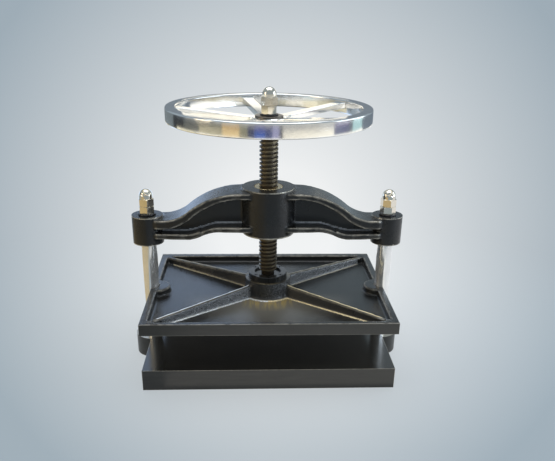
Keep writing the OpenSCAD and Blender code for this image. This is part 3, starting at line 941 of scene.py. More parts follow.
def beam_side(sizes, crown_z, foot_z, inset, end_x):
    """Half of the beam's side view, as x and z, from the crown's middle round to the belly's middle."""
    steps = 12
    end_z = foot_z + sizes.beam_end
    slope, under = sizes.crown_slope, sizes.belly_slope
    valley = (crown_z - end_z) / (1 - math.cos(slope)) - sizes.crown
    run = (sizes.crown + valley) * math.sin(slope)
    belly = sizes.belly_rise / (1 - math.cos(under)) / 2
    belly_run = 2 * belly * math.sin(under)
    belly_z = foot_z + sizes.belly_rise
    top = math.pi / 2
    points = [(0, crown_z - inset)]
    points += arc((sizes.crown_flat, crown_z - sizes.crown), sizes.crown - inset, top, top - slope, steps)
    points += arc((sizes.crown_flat + run, end_z + valley), valley + inset, 3 * top - slope, 3 * top, steps)
    points += [(end_x, end_z - inset), (end_x, foot_z + inset)]
    points += arc(
        (sizes.belly_flat + belly_run, foot_z + belly), belly - inset, 3 * top, 3 * top - under, steps)
    points += arc((sizes.belly_flat, belly_z - belly), belly + inset, top - under, top, steps)
    return points + [(0, belly_z + inset)]


def without_repeats(points):
    """A closed outline whose neighbouring points all differ."""
    kept = [points[0]]
    for point in points[1:]:
        if math.dist(point, kept[-1]) > TINY:
            kept.append(point)
    if math.dist(kept[0], kept[-1]) < TINY:
        kept.pop()
    return kept


def both_sides(half):
    """A closed outline from its right half, which starts and ends on the middle line."""
    return without_repeats(half + [(-x, z) for x, z in reversed(half)])


def upright(points, y):
    """An outline of x and z, stood up at a depth."""
    return [Vector((x, y, z)) for x, z in points]


def flat(points, z):
    """An outline of x and y, laid down at a height."""
    return [Vector((x, y, z)) for x, y in points]


def rectangle(left, right, low, high):
    return [(left, low), (right, low), (right, high), (left, high)]


def column_x():
    """How far the columns stand from the middle."""
    low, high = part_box("column_left")
    return -(low.x + high.x) / 2


# The pieces

class PRESS_OT_bed(bpy.types.Operator):
    """Builds the bed: a planed block with a lug at each side and a cored underside"""
    bl_idname = "press.bed"
    bl_label = "Bed"

    def execute(self, context):
        sizes, casting = context.scene.press_bed, context.scene.press_casting
        top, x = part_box("base_bed")[1].z, column_x()
        half = Vector((sizes.width / 2, sizes.depth / 2))
        bed = block("bed_casting", (-half.x, -half.y, 0), (half.x, half.y, top))
        for side in SIDES:
            add(bed, rod("lug", side * x, 0, sizes.lug, 0, top, sides=128))
        roof = top - sizes.plate
        near = sizes.rib / 2
        far = half - Vector((sizes.wall, sizes.wall))
        corner = 5 * MM
        for sx in SIDES:
            for sy in SIDES:
                xs = sorted((sx * near, sx * far.x))
                ys = sorted((sy * near, sy * far.y))
                core = block("core", (xs[0], ys[0], -casting.stock), (xs[1], ys[1], roof))
                cut(core, rod("lug_core", sx * x, 0, sizes.lug, -2 * casting.stock, 2 * top, sides=128))
                break_edges(core, corner, 3)
                cut(bed, core)
        for side in SIDES:
            cut(bed, rod("recess", side * x, 0, sizes.sink, -casting.stock, sizes.sink_depth))
            cut(bed, rod("bore", side * x, 0, sizes.bore, sizes.sink_depth / 2, top + casting.stock))
        break_edges(bed, casting.edge)
        shade(bed)
        finish_piece(bed, STILL, planed_bed(), ["base_bed"])
        paint_faces(bed, planed_bed_top(), lambda at, normal: normal.z > 0.9 and at.z > top - MM)
        return {"FINISHED"}


class PRESS_OT_yoke(bpy.types.Operator):
    """Builds the yoke: an arched I-beam cast in one with its hub and end bosses, then bored and faced"""
    bl_idname = "press.yoke"
    bl_label = "Yoke"

    def plan(self, sizes, end_x):
        """The flanges from above: widest at the hub, rounded at the bosses."""
        half, tip = sizes.depth / 2, sizes.end_depth / 2
        inside_hub = 0.9 * sizes.hub
        centre = (end_x - sizes.corner, tip - sizes.corner)
        lean = math.atan2(half - tip, centre[0] - inside_hub)
        right = [(0, half), (inside_hub, half)]
        right += arc(centre, sizes.corner, math.pi / 2 - lean, 0, 8)
        quarter = right + [(x, -y) for x, y in reversed(right)]
        return both_sides(quarter)

    def deepened(self, outline, sizes, middle, end_x):
        """The hollow's outline, with the upper flange growing thicker towards the boss."""
        start, run = 0.35 * end_x, 0.5 * end_x
        lowered = []
        for x, z in outline:
            grown = sizes.thicken * min(1, max(0, (x - start) / run))
            lowered.append((x, z - grown if z > middle else z))
        return lowered

    def execute(self, context):
        sizes, casting = context.scene.press_yoke, context.scene.press_casting
        low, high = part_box("yoke")
        x = column_x()
        boss_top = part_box("yoke_washers")[0].z
        hub_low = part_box("screw_nut")[0].z
        crown_z, foot_z = high.z - sizes.crown_drop, low.z + sizes.beam_rise
        end_x = x - sizes.boss / 2 + 3 * MM
        stock = casting.stock
        thick = sizes.depth + 2 * stock
        side = both_sides(beam_side(sizes, crown_z, foot_z, 0, end_x))
        yoke = drawn("yoke_casting", upright(side, -thick / 2), BACK * thick)
        plan = flat(self.plan(sizes, end_x), low.z - stock)
        keep_inside(yoke, drawn("plan", plan, 2 * (high.z - low.z) * UP))
        hollow = beam_side(sizes, crown_z, foot_z, sizes.flange, end_x)
        hollow = both_sides(self.deepened(hollow, sizes, foot_z + sizes.beam_end / 2, end_x))
        for sy in SIDES:
            cut(yoke, drawn("pocket", upright(hollow, sy * sizes.web / 2), BACK * sy * thick))
        add(yoke, rod("hub", 0, 0, sizes.hub, hub_low - stock, high.z + stock, sides=128))
        for sx in SIDES:
            add(yoke, rod("boss", sx * x, 0, sizes.boss, low.z - stock, boss_top + stock, sides=128))
        cast(yoke, casting)
        self.face(yoke, sizes, x, low.z, boss_top, hub_low, high.z, stock)
        faced = (low.z, boss_top, hub_low, high.z)
        break_where(yoke, casting.edge, lambda at: any(abs(at.z - level) < TINY for level in faced))
        shade(yoke, 40)
        finish_piece(yoke, STILL, black_cast(), ["yoke"])
        paint_faces(
            yoke, black_turned(),
            lambda at, normal: abs(normal.z) > 0.99 and any(abs(at.z - level) < TINY for level in faced))
        # The upward faces of the lower flange get the paint with painted light along the web's foot.
        ledge = foot_z + sizes.belly_rise + sizes.flange + 4 * MM
        paint_faces(
            yoke, ledge_paint_lit(),
            lambda at, normal: normal.z > 0.3 and foot_z < at.z < ledge
            and sizes.hub + MM < abs(at.x) < x - sizes.boss)
        return {"FINISHED"}

    def face(self, yoke, sizes, x, boss_low, boss_top, hub_low, hub_top, stock):
        """Machines the flat faces and bores."""
        wide = sizes.hub * 2
        cut(yoke, block("hub_face", (-wide, -wide, hub_top), (wide, wide, hub_top + 4 * stock)))
        cut(yoke, rod("hub_foot", 0, 0, sizes.hub + stock, hub_low - 4 * stock, hub_low, sides=128))
        for sx in SIDES:
            for low, high in ((boss_top, boss_top + 4 * stock), (boss_low - 4 * stock, boss_low)):
                cut(yoke, rod("boss_face", sx * x, 0, sizes.boss + stock, low, high))
            cut(yoke, rod("boss_bore", sx * x, 0, sizes.bore, boss_low - stock, boss_top + stock))
        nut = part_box("screw_nut")[1].x
        cut(yoke, rod("hub_bore", 0, 0, nut + FIT, hub_low - stock, hub_top + stock, sides=128))
        begin()
        bpy.ops.mesh.primitive_cylinder_add(
            vertices=48, radius=sizes.set_screw, depth=sizes.hub,
            location=(0, sizes.hub, (hub_low + hub_top) / 2), rotation=(math.pi / 2, 0, 0))
        cut(yoke, named("set_screw_hole"))


class PRESS_OT_platen(bpy.types.Operator):
    """Builds the platen: a cast tray with diagonal ribs, a hub and guide bosses, then machined to size"""
    bl_idname = "press.platen"
    bl_label = "Platen"

    def rib(self, sizes, low, direction, reach):
        """One rib, from the middle of the hub to a corner."""
        side = [
            (0, 0), (reach, 0), (reach, sizes.rib_end), (sizes.hub, sizes.rib_hub), (0, sizes.rib_hub)]
        rib = drawn("rib", upright(without_repeats(side), -sizes.rib / 2), BACK * sizes.rib)
        edit(rib, "DESELECT")
        mesh = bmesh.from_edit_mesh(rib.data)
        for corner in mesh.verts:
            corner.select_set(corner.co.z > TINY)
        bmesh.update_edit_mesh(rib.data)
        bpy.ops.transform.resize(value=(1, sizes.draft, 1), center_override=(0, 0, 0))
        object_mode()
        rib.location.z = low
        rib.rotation_euler.z = direction
        return settle(rib)

    def execute(self, context):
        sizes, casting = context.scene.press_platen, context.scene.press_casting
        low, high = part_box("platen")
        half = Vector((high.x, high.y))
        stock, skin = casting.stock, 0.1 * MM
        base, rim_top = low.z, low.z + sizes.rim_height
        floor = base + sizes.floor
        x = column_x()
        platen = block(
            "platen_casting", (-half.x - stock, -half.y - stock, base - stock),
            (half.x + stock, half.y + stock, rim_top))
        inner = half - Vector((sizes.rim, sizes.rim))
        tray = block("tray", (-inner.x, -inner.y, floor), (inner.x, inner.y, rim_top + stock))
        round_uprights(tray, 8 * MM)
        for side in SIDES:
            guide_x = side * (x - sizes.guide_inset)
            cut(tray, rod("guide", guide_x, 0, sizes.guide, base, rim_top + 3 * stock, sides=128))
        cut(platen, tray)
        reach = inner.length
        lean = math.atan2(inner.y, inner.x)
        for direction in (lean, math.pi - lean, math.pi + lean, -lean):
            add(platen, self.rib(sizes, base, direction, reach))
        outer = sizes.hub + sizes.fillet
        foot = arc((outer, floor + sizes.fillet), sizes.fillet, -math.pi / 2, -math.pi, 6)
        outline = [(outer, base)] + foot + [(sizes.hub - sizes.hub_draft, base + sizes.hub_height + stock)]
        add(platen, turned("hub", without_repeats(outline)))
        cast(platen, casting)
        self.machine(platen, sizes, stock, half, base, x)
        break_where(platen, casting.edge, lambda at: half.x - abs(at.x) < skin or half.y - abs(at.y) < skin)
        shade(platen, 40)
        finish_piece(platen, RISER, black_platen(), ["platen"])
        near = inner - Vector((sizes.rim, sizes.rim))
        beside = x - sizes.guide_inset
        paint_faces(
            platen, rib_paint_highlit(),
            lambda at, normal: at.z > floor + 4 * skin and abs(at.x) < near.x and abs(at.y) < near.y
            and math.hypot(abs(at.x) - beside, at.y) > sizes.guide + 5 * MM)
        paint_faces(
            platen, planed_platen(),
            lambda at, normal: abs(normal.z) < 0.5 and (
                half.x - abs(at.x) < 2 * skin or half.y - abs(at.y) < 2 * skin) or at.z < base + skin)
        return {"FINISHED"}

    def machine(self, platen, sizes, stock, half, base, x):
        """Cuts the edges square, faces the hub, and bores the socket, notches and screw holes."""
        ring = bpy.context.scene.press_ring
        top = base + sizes.hub_height
        keep_inside(platen, block("envelope", (-half.x, -half.y, base), (half.x, half.y, top)))
        socket_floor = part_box("thrust_pad")[0].z
        cut(platen, rod("socket", 0, 0, sizes.socket, socket_floor, top + stock, sides=128))
        for side in SIDES:
            cut(platen, rod("notch", side * x, 0, sizes.notch, base - stock, top + stock, sides=128))
        for place in ring_screw_places():
            cut(platen, rod(
                "screw_hole", *place, ring.tapped, top - ring.tapped_depth, top + stock, sides=32))


def ring_screw_places():
    """Centres of the ring's four screws, from the box of their solids."""
    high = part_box("retainer_screws")[1]
    head = bpy.context.scene.press_ring.head
    return [(sx * (high.x - head), sy * (high.y - head)) for sx in SIDES for sy in SIDES]


class PRESS_OT_retainer(bpy.types.Operator):
    """Builds the split ring on the platen's hub, with its sunk screws"""
    bl_idname = "press.retainer"
    bl_label = "Split ring"

    def execute(self, context):
        sizes, edge = context.scene.press_ring, context.scene.press_casting.edge / 2
        low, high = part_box("retainer_left")
        outer, gap = -low.x, sizes.gap
        floor = high.z - sizes.recess_depth
        outline = [
            (sizes.hole, low.z), (outer, low.z), (outer, high.z - sizes.edge), (outer - sizes.edge, high.z),
            (sizes.recess, high.z), (sizes.recess, floor), (sizes.hole, floor), (sizes.hole, low.z)]
        for side, name in zip(SIDES, ("left", "right")):
            ring = turned("ring_" + name, outline, ring=True)
            near, far = sorted((side * gap, side * outer * 2))
            keep_inside(ring, block("half", (near, -outer * 2, low.z - gap), (far, outer * 2, high.z + gap)))
            for place in ring_screw_places():
                if place[0] * side > 0:
                    cut(ring, rod(
                        "shank_hole", *place, sizes.shank_room, low.z - gap, high.z + gap, sides=32))
                    cut(ring, rod(
                        "head_hole", *place, sizes.head_room, high.z - sizes.head_height, high.z + gap,
                        sides=48))
            break_edges(ring, edge)
            shade(ring)
            finish_piece(ring, RISER, black_turned(), ["retainer_" + name])
        self.screws(sizes)
        return {"FINISHED"}

    def screws(self, sizes):
        """Four socket screws, modelled once and copied."""
        low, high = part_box("retainer_screws")
        head, shank, neck, tip = sizes.head, sizes.shank, high.z - sizes.head_height, 0.5 * MM
        source = turned("ring_screw_source", [
            (shank - tip, low.z), (shank, low.z + tip), (shank, neck), (head, neck), (head, high.z - tip),
            (head - tip, high.z)], sides=48)
        corner = sizes.key / math.sqrt(3)
        cut(source, rod("key_hole", 0, 0, corner, high.z - sizes.key_depth, high.z + MM, sides=6))
        shade(source)
        for number, place in enumerate(ring_screw_places()):
            screw = copy_of(source, f"ring_screw_{number}")
            screw.location = (*place, 0)
            settle(screw)
            replaces = ["retainer_screws"] if number == 0 else ()
            finish_piece(screw, RISER, dark_steel(), replaces)
        bpy.data.objects.remove(source)


class PRESS_OT_screw(bpy.types.Operator):
    """Builds the screw with its right-hand thread, and the bronze nut with the thread that fits it"""
    bl_idname = "press.screw"
    bl_label = "Screw and nut"

    def thread(self, name, root, crest, low, high, sizes, widen=0.0):
        """A solid bar with a helical ridge, longer than asked for and still to be cut to length.
        widen makes the ridge wider on both sides, for the room that a nut leaves."""
        lead = sizes.lead
        land, flank = sizes.crest_land * lead + 2 * widen, sizes.flank * lead
        start = -widen
        profile = [
            (root, start), (crest, start + flank), (crest, start + flank + land),
            (root, start + 2 * flank + land), (root, start + lead)]
        turns = math.ceil((high - low) / lead) + 2
        base = math.floor(low / lead - 1) * lead
        band = drawn(name, [Vector((r, 0, base + z)) for r, z in profile])
        apply(
            band, "SCREW", axis="Z", angle=2 * math.pi, screw_offset=lead, iterations=turns + 1,
            steps=sizes.steps, render_steps=sizes.steps, use_merge_vertices=True, merge_threshold=TINY)
        edit(band)
        bpy.ops.mesh.remove_doubles(threshold=TINY)
        self.close_ends()
        return band

    def close_ends(self):
        """Caps the two spiral ends of the band that is being edited."""
        bpy.ops.mesh.select_all(action="DESELECT")
        bpy.context.tool_settings.mesh_select_mode = (False, True, False)
        bpy.ops.mesh.select_non_manifold(extend=False)
        bpy.ops.mesh.edge_face_add()
        bpy.ops.mesh.select_all(action="SELECT")
        bpy.ops.mesh.quads_convert_to_tris(quad_method="BEAUTY", ngon_method="BEAUTY")
        bpy.ops.mesh.normals_make_consistent(inside=False)
        object_mode()

    def execute(self, context):
        sizes = context.scene.press_screw
        low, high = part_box("press_screw")
        ring_low, ring_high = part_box("retainer_left")
        head_room, thread_room, seat_room = 0.3 * MM, 3 * MM, 1.5 * MM
        head_high, thread_low = ring_low.z - head_room, ring_high.z + thread_room
        key_low, key_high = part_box("wheel_key")
        thread_high, seat_top = key_low.z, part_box("wheel_washer")[0].z - seat_room
        depth = sizes.crest - sizes.root
        head, neck, seat, stud, nip = sizes.head, sizes.neck, sizes.seat, sizes.stud, sizes.nip
        envelope = turned("envelope", [
            (sizes.root, thread_low), (sizes.crest, thread_low + depth), (sizes.crest, thread_high - nip),
            (sizes.crest - nip, thread_high)])
        screw = self.thread("screw_spindle", sizes.root, sizes.crest, thread_low, thread_high, sizes)
        keep_inside(screw, envelope)
        add(screw, turned("lower_end", [
            (head - nip, low.z), (head, low.z + nip), (head, head_high - nip), (head - nip, head_high),
            (neck, head_high), (neck, thread_low + nip)], sides=96))
        add(screw, turned("upper_end", [
            (seat, thread_high - nip), (seat, seat_top), (stud, seat_top), (stud, high.z - nip),
            (stud - nip, high.z)], sides=96))
        room = Vector((FIT, FIT, FIT))
        cut(screw, block("key_seat", key_low - room, key_high + room))
        shade(screw, 28)
        finish_piece(screw, TURNER, two_tone_thread(), ["press_screw"])
        self.nut(sizes)
        return {"FINISHED"}

    def nut(self, sizes):
        """The bronze nut: a bush whose thread leaves a little room round the screw's."""
        low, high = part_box("screw_nut")
        outer, chamfer = high.x, 1.5 * MM
        nut = turned("bronze_nut", [
            (outer - chamfer, low.z), (outer, low.z + chamfer), (outer, high.z - chamfer),
            (outer - chamfer, high.z)])
        room = self.thread(
            "room", sizes.root + sizes.play, sizes.crest + sizes.play, low.z, high.z, sizes, sizes.play)
        cut(nut, room)
        mouth = sizes.crest + MM
        for z, step in ((low.z, 1), (high.z, -1)):
            outline = [(mouth + MM, z - step * MM), (sizes.root, z + step * (mouth - sizes.root))]
            cut(nut, turned("mouth", outline[::step]))
        shade(nut, 28)
        finish_piece(nut, STILL, bronze(), ["screw_nut"])


class PRESS_OT_handwheel(bpy.types.Operator):
    """Builds the handwheel: a rim of rounded square section, flared flat spokes and a turned hub"""
    bl_idname = "press.handwheel"
    bl_label = "Handwheel"

    def rim(self, sizes, top):
        """The rim, turned from a rounded square section."""
        r = sizes.rim_round
        inner, outer, low = sizes.radius - sizes.rim, sizes.radius, top - sizes.rim_height
        quarter = math.pi / 2
        section = (
            arc((outer - r, low + r), r, -quarter, 0, 4) + arc((outer - r, top - r), r, 0, quarter, 4)
            + arc((inner + r, top - r), r, quarter, 2 * quarter, 4)
            + arc((inner + r, low + r), r, 2 * quarter, 3 * quarter, 4))
        return turned("wheel_rim", without_repeats(section) + [section[0]], sides=192, ring=True)

    def spoke(self, sizes, hub_z, rim_z, direction):
        """A flat bar that widens where it meets the hub and the rim."""
        inner, outer = sizes.hub - 4 * MM, sizes.radius - sizes.rim / 2
        flare, run, half = sizes.flare, sizes.flare_run, sizes.spoke_width / 2
        foot, mouth = sizes.hub, sizes.radius - sizes.rim
        steps = (0, 0.25, 0.5, 0.75, 1)
        stations = [(inner, half + flare)]
        stations += [(foot + run * t, half + flare * (1 - t) ** 2) for t in steps]
        stations += [(mouth - run * t, half + flare * (1 - t) ** 2) for t in reversed(steps)]
        stations += [(outer, half + flare)]
        outline = stations + [(x, -y) for x, y in reversed(stations)]
        slope = (rim_z - hub_z) / (outer - inner)
        low = hub_z - sizes.spoke
        leaning = [Vector((x, y, low + slope * (x - inner))) for x, y in outline]
        bar = drawn("spoke", leaning, UP * sizes.spoke)
        break_edges(bar, 1.2 * MM, 3, 40)
        bar.rotation_euler.z = direction
        return settle(bar)

    def execute(self, context):
        sizes = context.scene.press_wheel
        face_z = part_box("wheel_washer")[0].z
        key_low, key_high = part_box("wheel_key")
        hub_low, hub_top = key_low.z, face_z - sizes.face_rise
        edge = 1.5 * MM
        wheel = self.rim(sizes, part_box("handwheel")[1].z)
        wheel.name = "handwheel_chrome"
        hub = turned("hub", [
            (sizes.hub - edge, hub_low), (sizes.hub, hub_low + edge), (sizes.hub, hub_top - edge),
            (sizes.hub - edge, hub_top), (sizes.face, hub_top), (sizes.face, face_z - edge / 3),
            (sizes.face - edge / 3, face_z)])
        rim_z = hub_top + sizes.rise
        for number in range(sizes.spokes):
            direction = sizes.first + 2 * math.pi * number / sizes.spokes
            add(hub, self.spoke(sizes, hub_top, rim_z, direction))
        add(wheel, hub)
        cut(wheel, rod("seat", 0, 0, sizes.seat, hub_low - MM, face_z + MM, sides=128))
        room = Vector((FIT, FIT, FIT))
        cut(wheel, block("key_way", key_low - room - UP * MM, key_high + room))
        shade(wheel, 30)
        finish_piece(wheel, TURNER, wheel_chrome(), ["handwheel"])
        paint_faces(
            wheel, turned_face(),
            lambda at, normal: at.z > hub_top + TINY and at.xy.length < sizes.face + TINY)
        return {"FINISHED"}


class PRESS_OT_columns(bpy.types.Operator):
    """Builds the two chromed columns with their turned shoulders and threaded ends"""
    bl_idname = "press.columns"
    bl_label = "Columns"

    def execute(self, context):
        sizes = context.scene.press_columns
        radius, end, edge = sizes.radius, sizes.end, sizes.edge
        bed_top, yoke_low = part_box("base_bed")[1].z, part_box("yoke")[0].z
        for side, node in zip(SIDES, ("column_left", "column_right")):
            low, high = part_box(node)
            outline = [
                (end - edge, low.z), (end, low.z + edge), (end, bed_top), (radius - edge, bed_top),
                (radius, bed_top + edge), (radius, yoke_low - edge), (radius - edge, yoke_low),
                (end, yoke_low), (end, high.z - edge), (end - edge, high.z)]
            column = turned(node + "_chrome", outline, x=side * column_x())
            shade(column)
            finish_piece(column, STILL, chrome(), [node])
        return {"FINISHED"}


class PRESS_OT_fasteners(bpy.types.Operator):
    """Builds the hexagon nuts, cap nuts and washers on the columns and on the wheel"""
    bl_idname = "press.fasteners"
    bl_label = "Nuts and washers"

    def blank(self, name, sizes, low, height, turn):
        """A hexagon with turned corners: where the cone meets each flat it leaves the usual arc."""
        across = sizes.flats / math.sqrt(3)
        hexagon = rod(name, 0, 0, across, low, low + height, sides=6, turn=turn + math.pi / 6)
        dip = (across - sizes.flats / 2) * math.tan(math.radians(30)) + 0.3 * MM
        inner = sizes.flats / 2 - 0.5 * MM
        outer = across + 0.2 * MM
        cone = turned("cone", [
            (inner, low), (outer, low + dip), (outer, low + height - dip), (inner, low + height)])
        return keep_inside(hexagon, cone)

    def plain(self, name, sizes, x, low, turn):
        """A plain nut: a blank with its hole."""
        nut = self.blank(name, sizes, low, sizes.height, turn)
        cut(nut, rod("hole", 0, 0, sizes.bore, low - MM, low + sizes.height + MM))
        return self.placed(nut, x)

    def capped(self, name, sizes, x, low, turn):
        """A cap nut: a blank with a dome, and a hole that ends inside it."""
        nut = self.blank(name, sizes, low, sizes.height, turn)
        dome, tip = 0.48 * sizes.flats, 0.05
        centre = low + sizes.cap - dome
        outline = [(dome, low + sizes.height / 2)] + arc((0, centre), dome, 0, math.pi / 2 - tip, 14)
        add(nut, turned("dome", outline))
        cut(nut, rod("hole", 0, 0, sizes.bore, low - MM, centre + sizes.bore / 2))
        return self.placed(nut, x)

    def washer(self, name, sizes, x, low):
        """A flat washer with turned edges."""
        hole, outer, edge = sizes.washer_bore, sizes.washer, 0.4 * MM
        top = low + sizes.washer_height
        outline = [
            (hole, low), (outer - edge, low), (outer, low + edge), (outer, top - edge), (outer - edge, top),
            (hole, top), (hole, low)]
        return self.placed(turned(name, outline, sides=96, ring=True), x)

    def placed(self, piece, x):
        """Breaks a piece's edges and puts it where it belongs."""
        break_edges(piece, 0.25 * MM, 2, 25)
        return shade(moved(piece, x))

    def execute(self, context):
        sizes = context.scene.press_nuts
        x = column_x()
        on_yoke = ("yoke_washers", "yoke_hex_nuts", "yoke_cap_nuts")
        on_wheel = ("wheel_washer", "wheel_hex_nut", "wheel_cap_nut")
        for name, at, nodes, replaced, body, nut_turn, cap_turn in (
                ("left", -x, on_yoke, True, STILL, sizes.left_nut, sizes.left_cap),
                ("right", x, on_yoke, False, STILL, sizes.right_nut, sizes.right_cap),
                ("wheel", 0, on_wheel, True, TURNER, sizes.wheel_nut, sizes.wheel_cap)):
            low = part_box(nodes[0])[0].z
            nut_low = low + sizes.washer_height
            cap_low = nut_low + sizes.height
            stack = (
                (self.washer(name + "_washer", sizes, at, low), "dark_steel", dark_steel()),
                (self.plain(name + "_nut", sizes, at, nut_low, nut_turn), "chrome", nickel()),
                (self.capped(name + "_cap_nut", sizes, at, cap_low, cap_turn), "chrome", nickel()))
            for (piece, slot, finish), node in zip(stack, nodes):
                finish_piece(piece, body, finish, [node] if replaced else ())
        for node in ("base_washers", "base_nuts", "nut_set_screw", "wheel_key"):
            dress_node(node, dark_steel())
        dress_node("thrust_pad", bronze())
        return {"FINISHED"}


class PRESS_OT_stage(bpy.types.Operator):
    """Sets the floor, the cards that polished metal reflects, the lamps, the world and the camera"""
    bl_idname = "press.stage"
    bl_label = "Stage"

    def view_axes(self, settings):
        """The camera's right, up and forward directions."""
        pitch, yaw, roll = settings.pitch, settings.yaw, settings.roll
        forward = Vector((
            math.sin(yaw) * math.cos(pitch), math.cos(yaw) * math.cos(pitch), -math.sin(pitch)))
        right = Vector((math.cos(yaw), -math.sin(yaw), 0))
        up = right.cross(forward)
        along, across = math.cos(roll), math.sin(roll)
        return along * right + across * up, along * up - across * right, forward

    def painted_light_pool(self, tree, direction, settings):
        """The backdrop's colour along a direction: a painted pool of light, pale behind the press, and darker
        all round.
        """
        _, up, forward = self.view_axes(settings)
        unit = vector_maths(tree, "NORMALIZE", direction)
        towards = vector_maths(tree, "DOT_PRODUCT", unit, forward + settings.raised * up)
        off = maths(tree, "ARCCOSINE", maths(tree, "MINIMUM", towards, 1.0))
        fade = remap(tree, off, 0.06, settings.spread)
        return blend_colours(tree, fade, settings.middle, settings.corner)

    def seen(self, tree):
        """1 for rays from the camera and in reflections, and 0 for the light on the press."""
        path = tree.nodes.new("ShaderNodeLightPath").outputs
        return maths(
            tree, "MAXIMUM", path["Is Camera Ray"],
            maths(tree, "MAXIMUM", path["Is Glossy Ray"], path["Is Transmission Ray"]))

    def floor(self, settings):
        """A floor that takes the press's shadow, and far away turns into the backdrop."""
        begin()
        bpy.ops.mesh.primitive_plane_add(size=300, location=(0, 0, 0))
        floor = named("stage_floor")
        material, tree, shader, vector = new_material("stage_floor")
        pool = self.painted_light_pool(tree, vector_maths(tree, "SUBTRACT", vector, settings.place), settings)
        tree.links.new(pool, shader.inputs["Base Color"])
        shader.inputs["Roughness"].default_value = 1.0
        shader.inputs["Specular IOR Level"].default_value = 0.0
        # For the camera and reflections the floor glows with the painted pool: 70 % of it within 0.2 m of the
        # middle, which paints light over most of the press's shadow, and all of it from 1 m out.
        fade = remap(tree, vector_maths(tree, "LENGTH", vector), 0.2, 1.0, 0.7, 1.0)
        glow = tree.nodes.new("ShaderNodeEmission")
        tree.links.new(pool, glow.inputs["Color"])
        mix = tree.nodes.new("ShaderNodeMixShader")
        tree.links.new(product(tree, fade, self.seen(tree)), mix.inputs["Fac"])
        tree.links.new(shader.outputs["BSDF"], mix.inputs[1])
        tree.links.new(glow.outputs["Emission"], mix.inputs[2])
        output = next(n for n in tree.nodes if n.type == "OUTPUT_MATERIAL")
        tree.links.new(mix.outputs["Shader"], output.inputs["Surface"])
        floor.data.materials.append(material)

    def card(self, name, tint, outline):
        """A coloured card that only reflections show: outline holds its corners in order."""
        card = drawn(name, outline)
        edit(card)
        bpy.ops.mesh.edge_face_add()
        object_mode()
        self.glowing(card, tint)

    def glowing(self, card, tint):
        """Lights a card, and hides it from everything but reflections."""
        material = bpy.data.materials.new(card.name)
        material.use_nodes = True
        tree = material.node_tree
        tree.nodes.clear()
        glow = tree.nodes.new("ShaderNodeEmission")
        peak = max(*tint, 1)
        glow.inputs["Color"].default_value = solid(tuple(c / peak for c in tint))
        glow.inputs["Strength"].default_value = peak
        out = tree.nodes.new("ShaderNodeOutputMaterial")
        tree.links.new(glow.outputs["Emission"], out.inputs["Surface"])
        card.data.materials.append(material)
        card.visible_camera = False
        card.visible_diffuse = False
        card.visible_shadow = False
        card.visible_transmission = False

    def band(self, name, tint, start, end, low, high, radius):
        """A standing card that runs round the press between two directions, in degrees from the camera's
        side towards the right."""
        steps = max(1, round((end - start) / 10))
        card = drawn(name, flat(
            arc((0, 0), radius, math.radians(start - 90), math.radians(end - 90), steps), low))
        edit(card)
        extrude(UP * (high - low))
        object_mode()
        self.glowing(card, tint)

    def cards(self):
        """What the polished and painted faces mirror. Each tint is a brightness in red, green and blue."""
        far, near = 0.55, 0.30
        low, middle, high = 0.388, 0.427, 0.443
        for name, start, end, upper, lower in (
                ("slate_left", -150, -109, (0.20, 0.235, 0.25), None),
                ("iron_left", -109, -89, (0.04, 0.045, 0.05), None),
                ("grey_left", -89, -68, (0.10, 0.11, 0.11), (0.13, 0.14, 0.13)),
                ("cream_left", -68, -43, (0.10, 0.10, 0.08), (0.52, 0.48, 0.33)),
                ("gold_left", -43, -27, (0.62, 0.40, 0.16), (0.95, 0.72, 0.38)),
                ("bone_left", -27, -20, (0.30, 0.29, 0.20), None),
                ("ink_left", -20, -14, (0.06, 0.06, 0.12), (0.02, 0.04, 0.12)),
                ("blue_middle", -14, -5, (0.10, 0.09, 0.26), (0.02, 0.11, 0.50)),
                ("ink_right", -5, 1, (0.07, 0.07, 0.18), (0.02, 0.05, 0.20)),
                ("lilac_middle", 1, 7, (0.38, 0.38, 0.60), None),
                ("iron_middle", 7, 10, (0.04, 0.045, 0.06), None),
                ("pearl_right", 10, 59, (0.46, 0.45, 0.44), (1.18, 1.12, 0.95)),
                ("mauve_right", 59, 78, (0.19, 0.15, 0.28), (0.06, 0.07, 0.17)),
                ("iron_right", 78, 83, (0.10, 0.12, 0.15), None),
                ("aqua_right", 83, 100, (0.50, 0.76, 0.78), None),
                ("slate_right", 100, 150, (0.185, 0.225, 0.27), None)):
            self.band("card_" + name, upper, start, end, middle if lower else low, high, far)
            if lower:
                self.band("card_" + name + "_low", lower, start, end, low, middle, far)
        self.band("card_cap", (0.66, 0.66, 0.62), -85, 85, 0.445, 0.50, far)
        for name, tint, start, end, bottom, top in (
                ("pearl", (1.35, 1.33, 1.25), -15, 85, 0.417, 0.457),
                ("pearl_right", (1.6, 1.58, 1.5), 85, 150, 0.417, 0.446),
                ("cream", (1.5, 1.42, 1.22), -60, -15, 0.417, 0.457),
                ("straw", (1.15, 1.08, 0.82), -85, -60, 0.417, 0.457),
                ("straw_left", (0.86, 0.80, 0.58), -150, -85, 0.417, 0.446),
                ("olive", (0.24, 0.22, 0.13), -150, 150, 0.405, 0.417)):
            self.band("card_inner_" + name, tint, start, end, bottom, top, near)
        self.band("card_cool_edge", (9.0, 10.4, 12.0), 50, 82, 0.28, 0.36, 0.75)
        self.band("card_warm_edge", (2.6, 2.3, 1.7), -76, -54, 0.28, 0.35, 0.75)
        arch = both_sides([(0.050, 0.525), (0.115, 0.531), (0.168, 0.539), (0.190, 0.545), (0.190, 0.577)])
        self.card("card_spokes", (1.5, 1.44, 1.27), upright(arch, near))
        self.card("card_rim_shade", (0.21, 0.25, 0.29), upright(rectangle(-0.45, 0.45, 0.478, 0.65), 0.33))
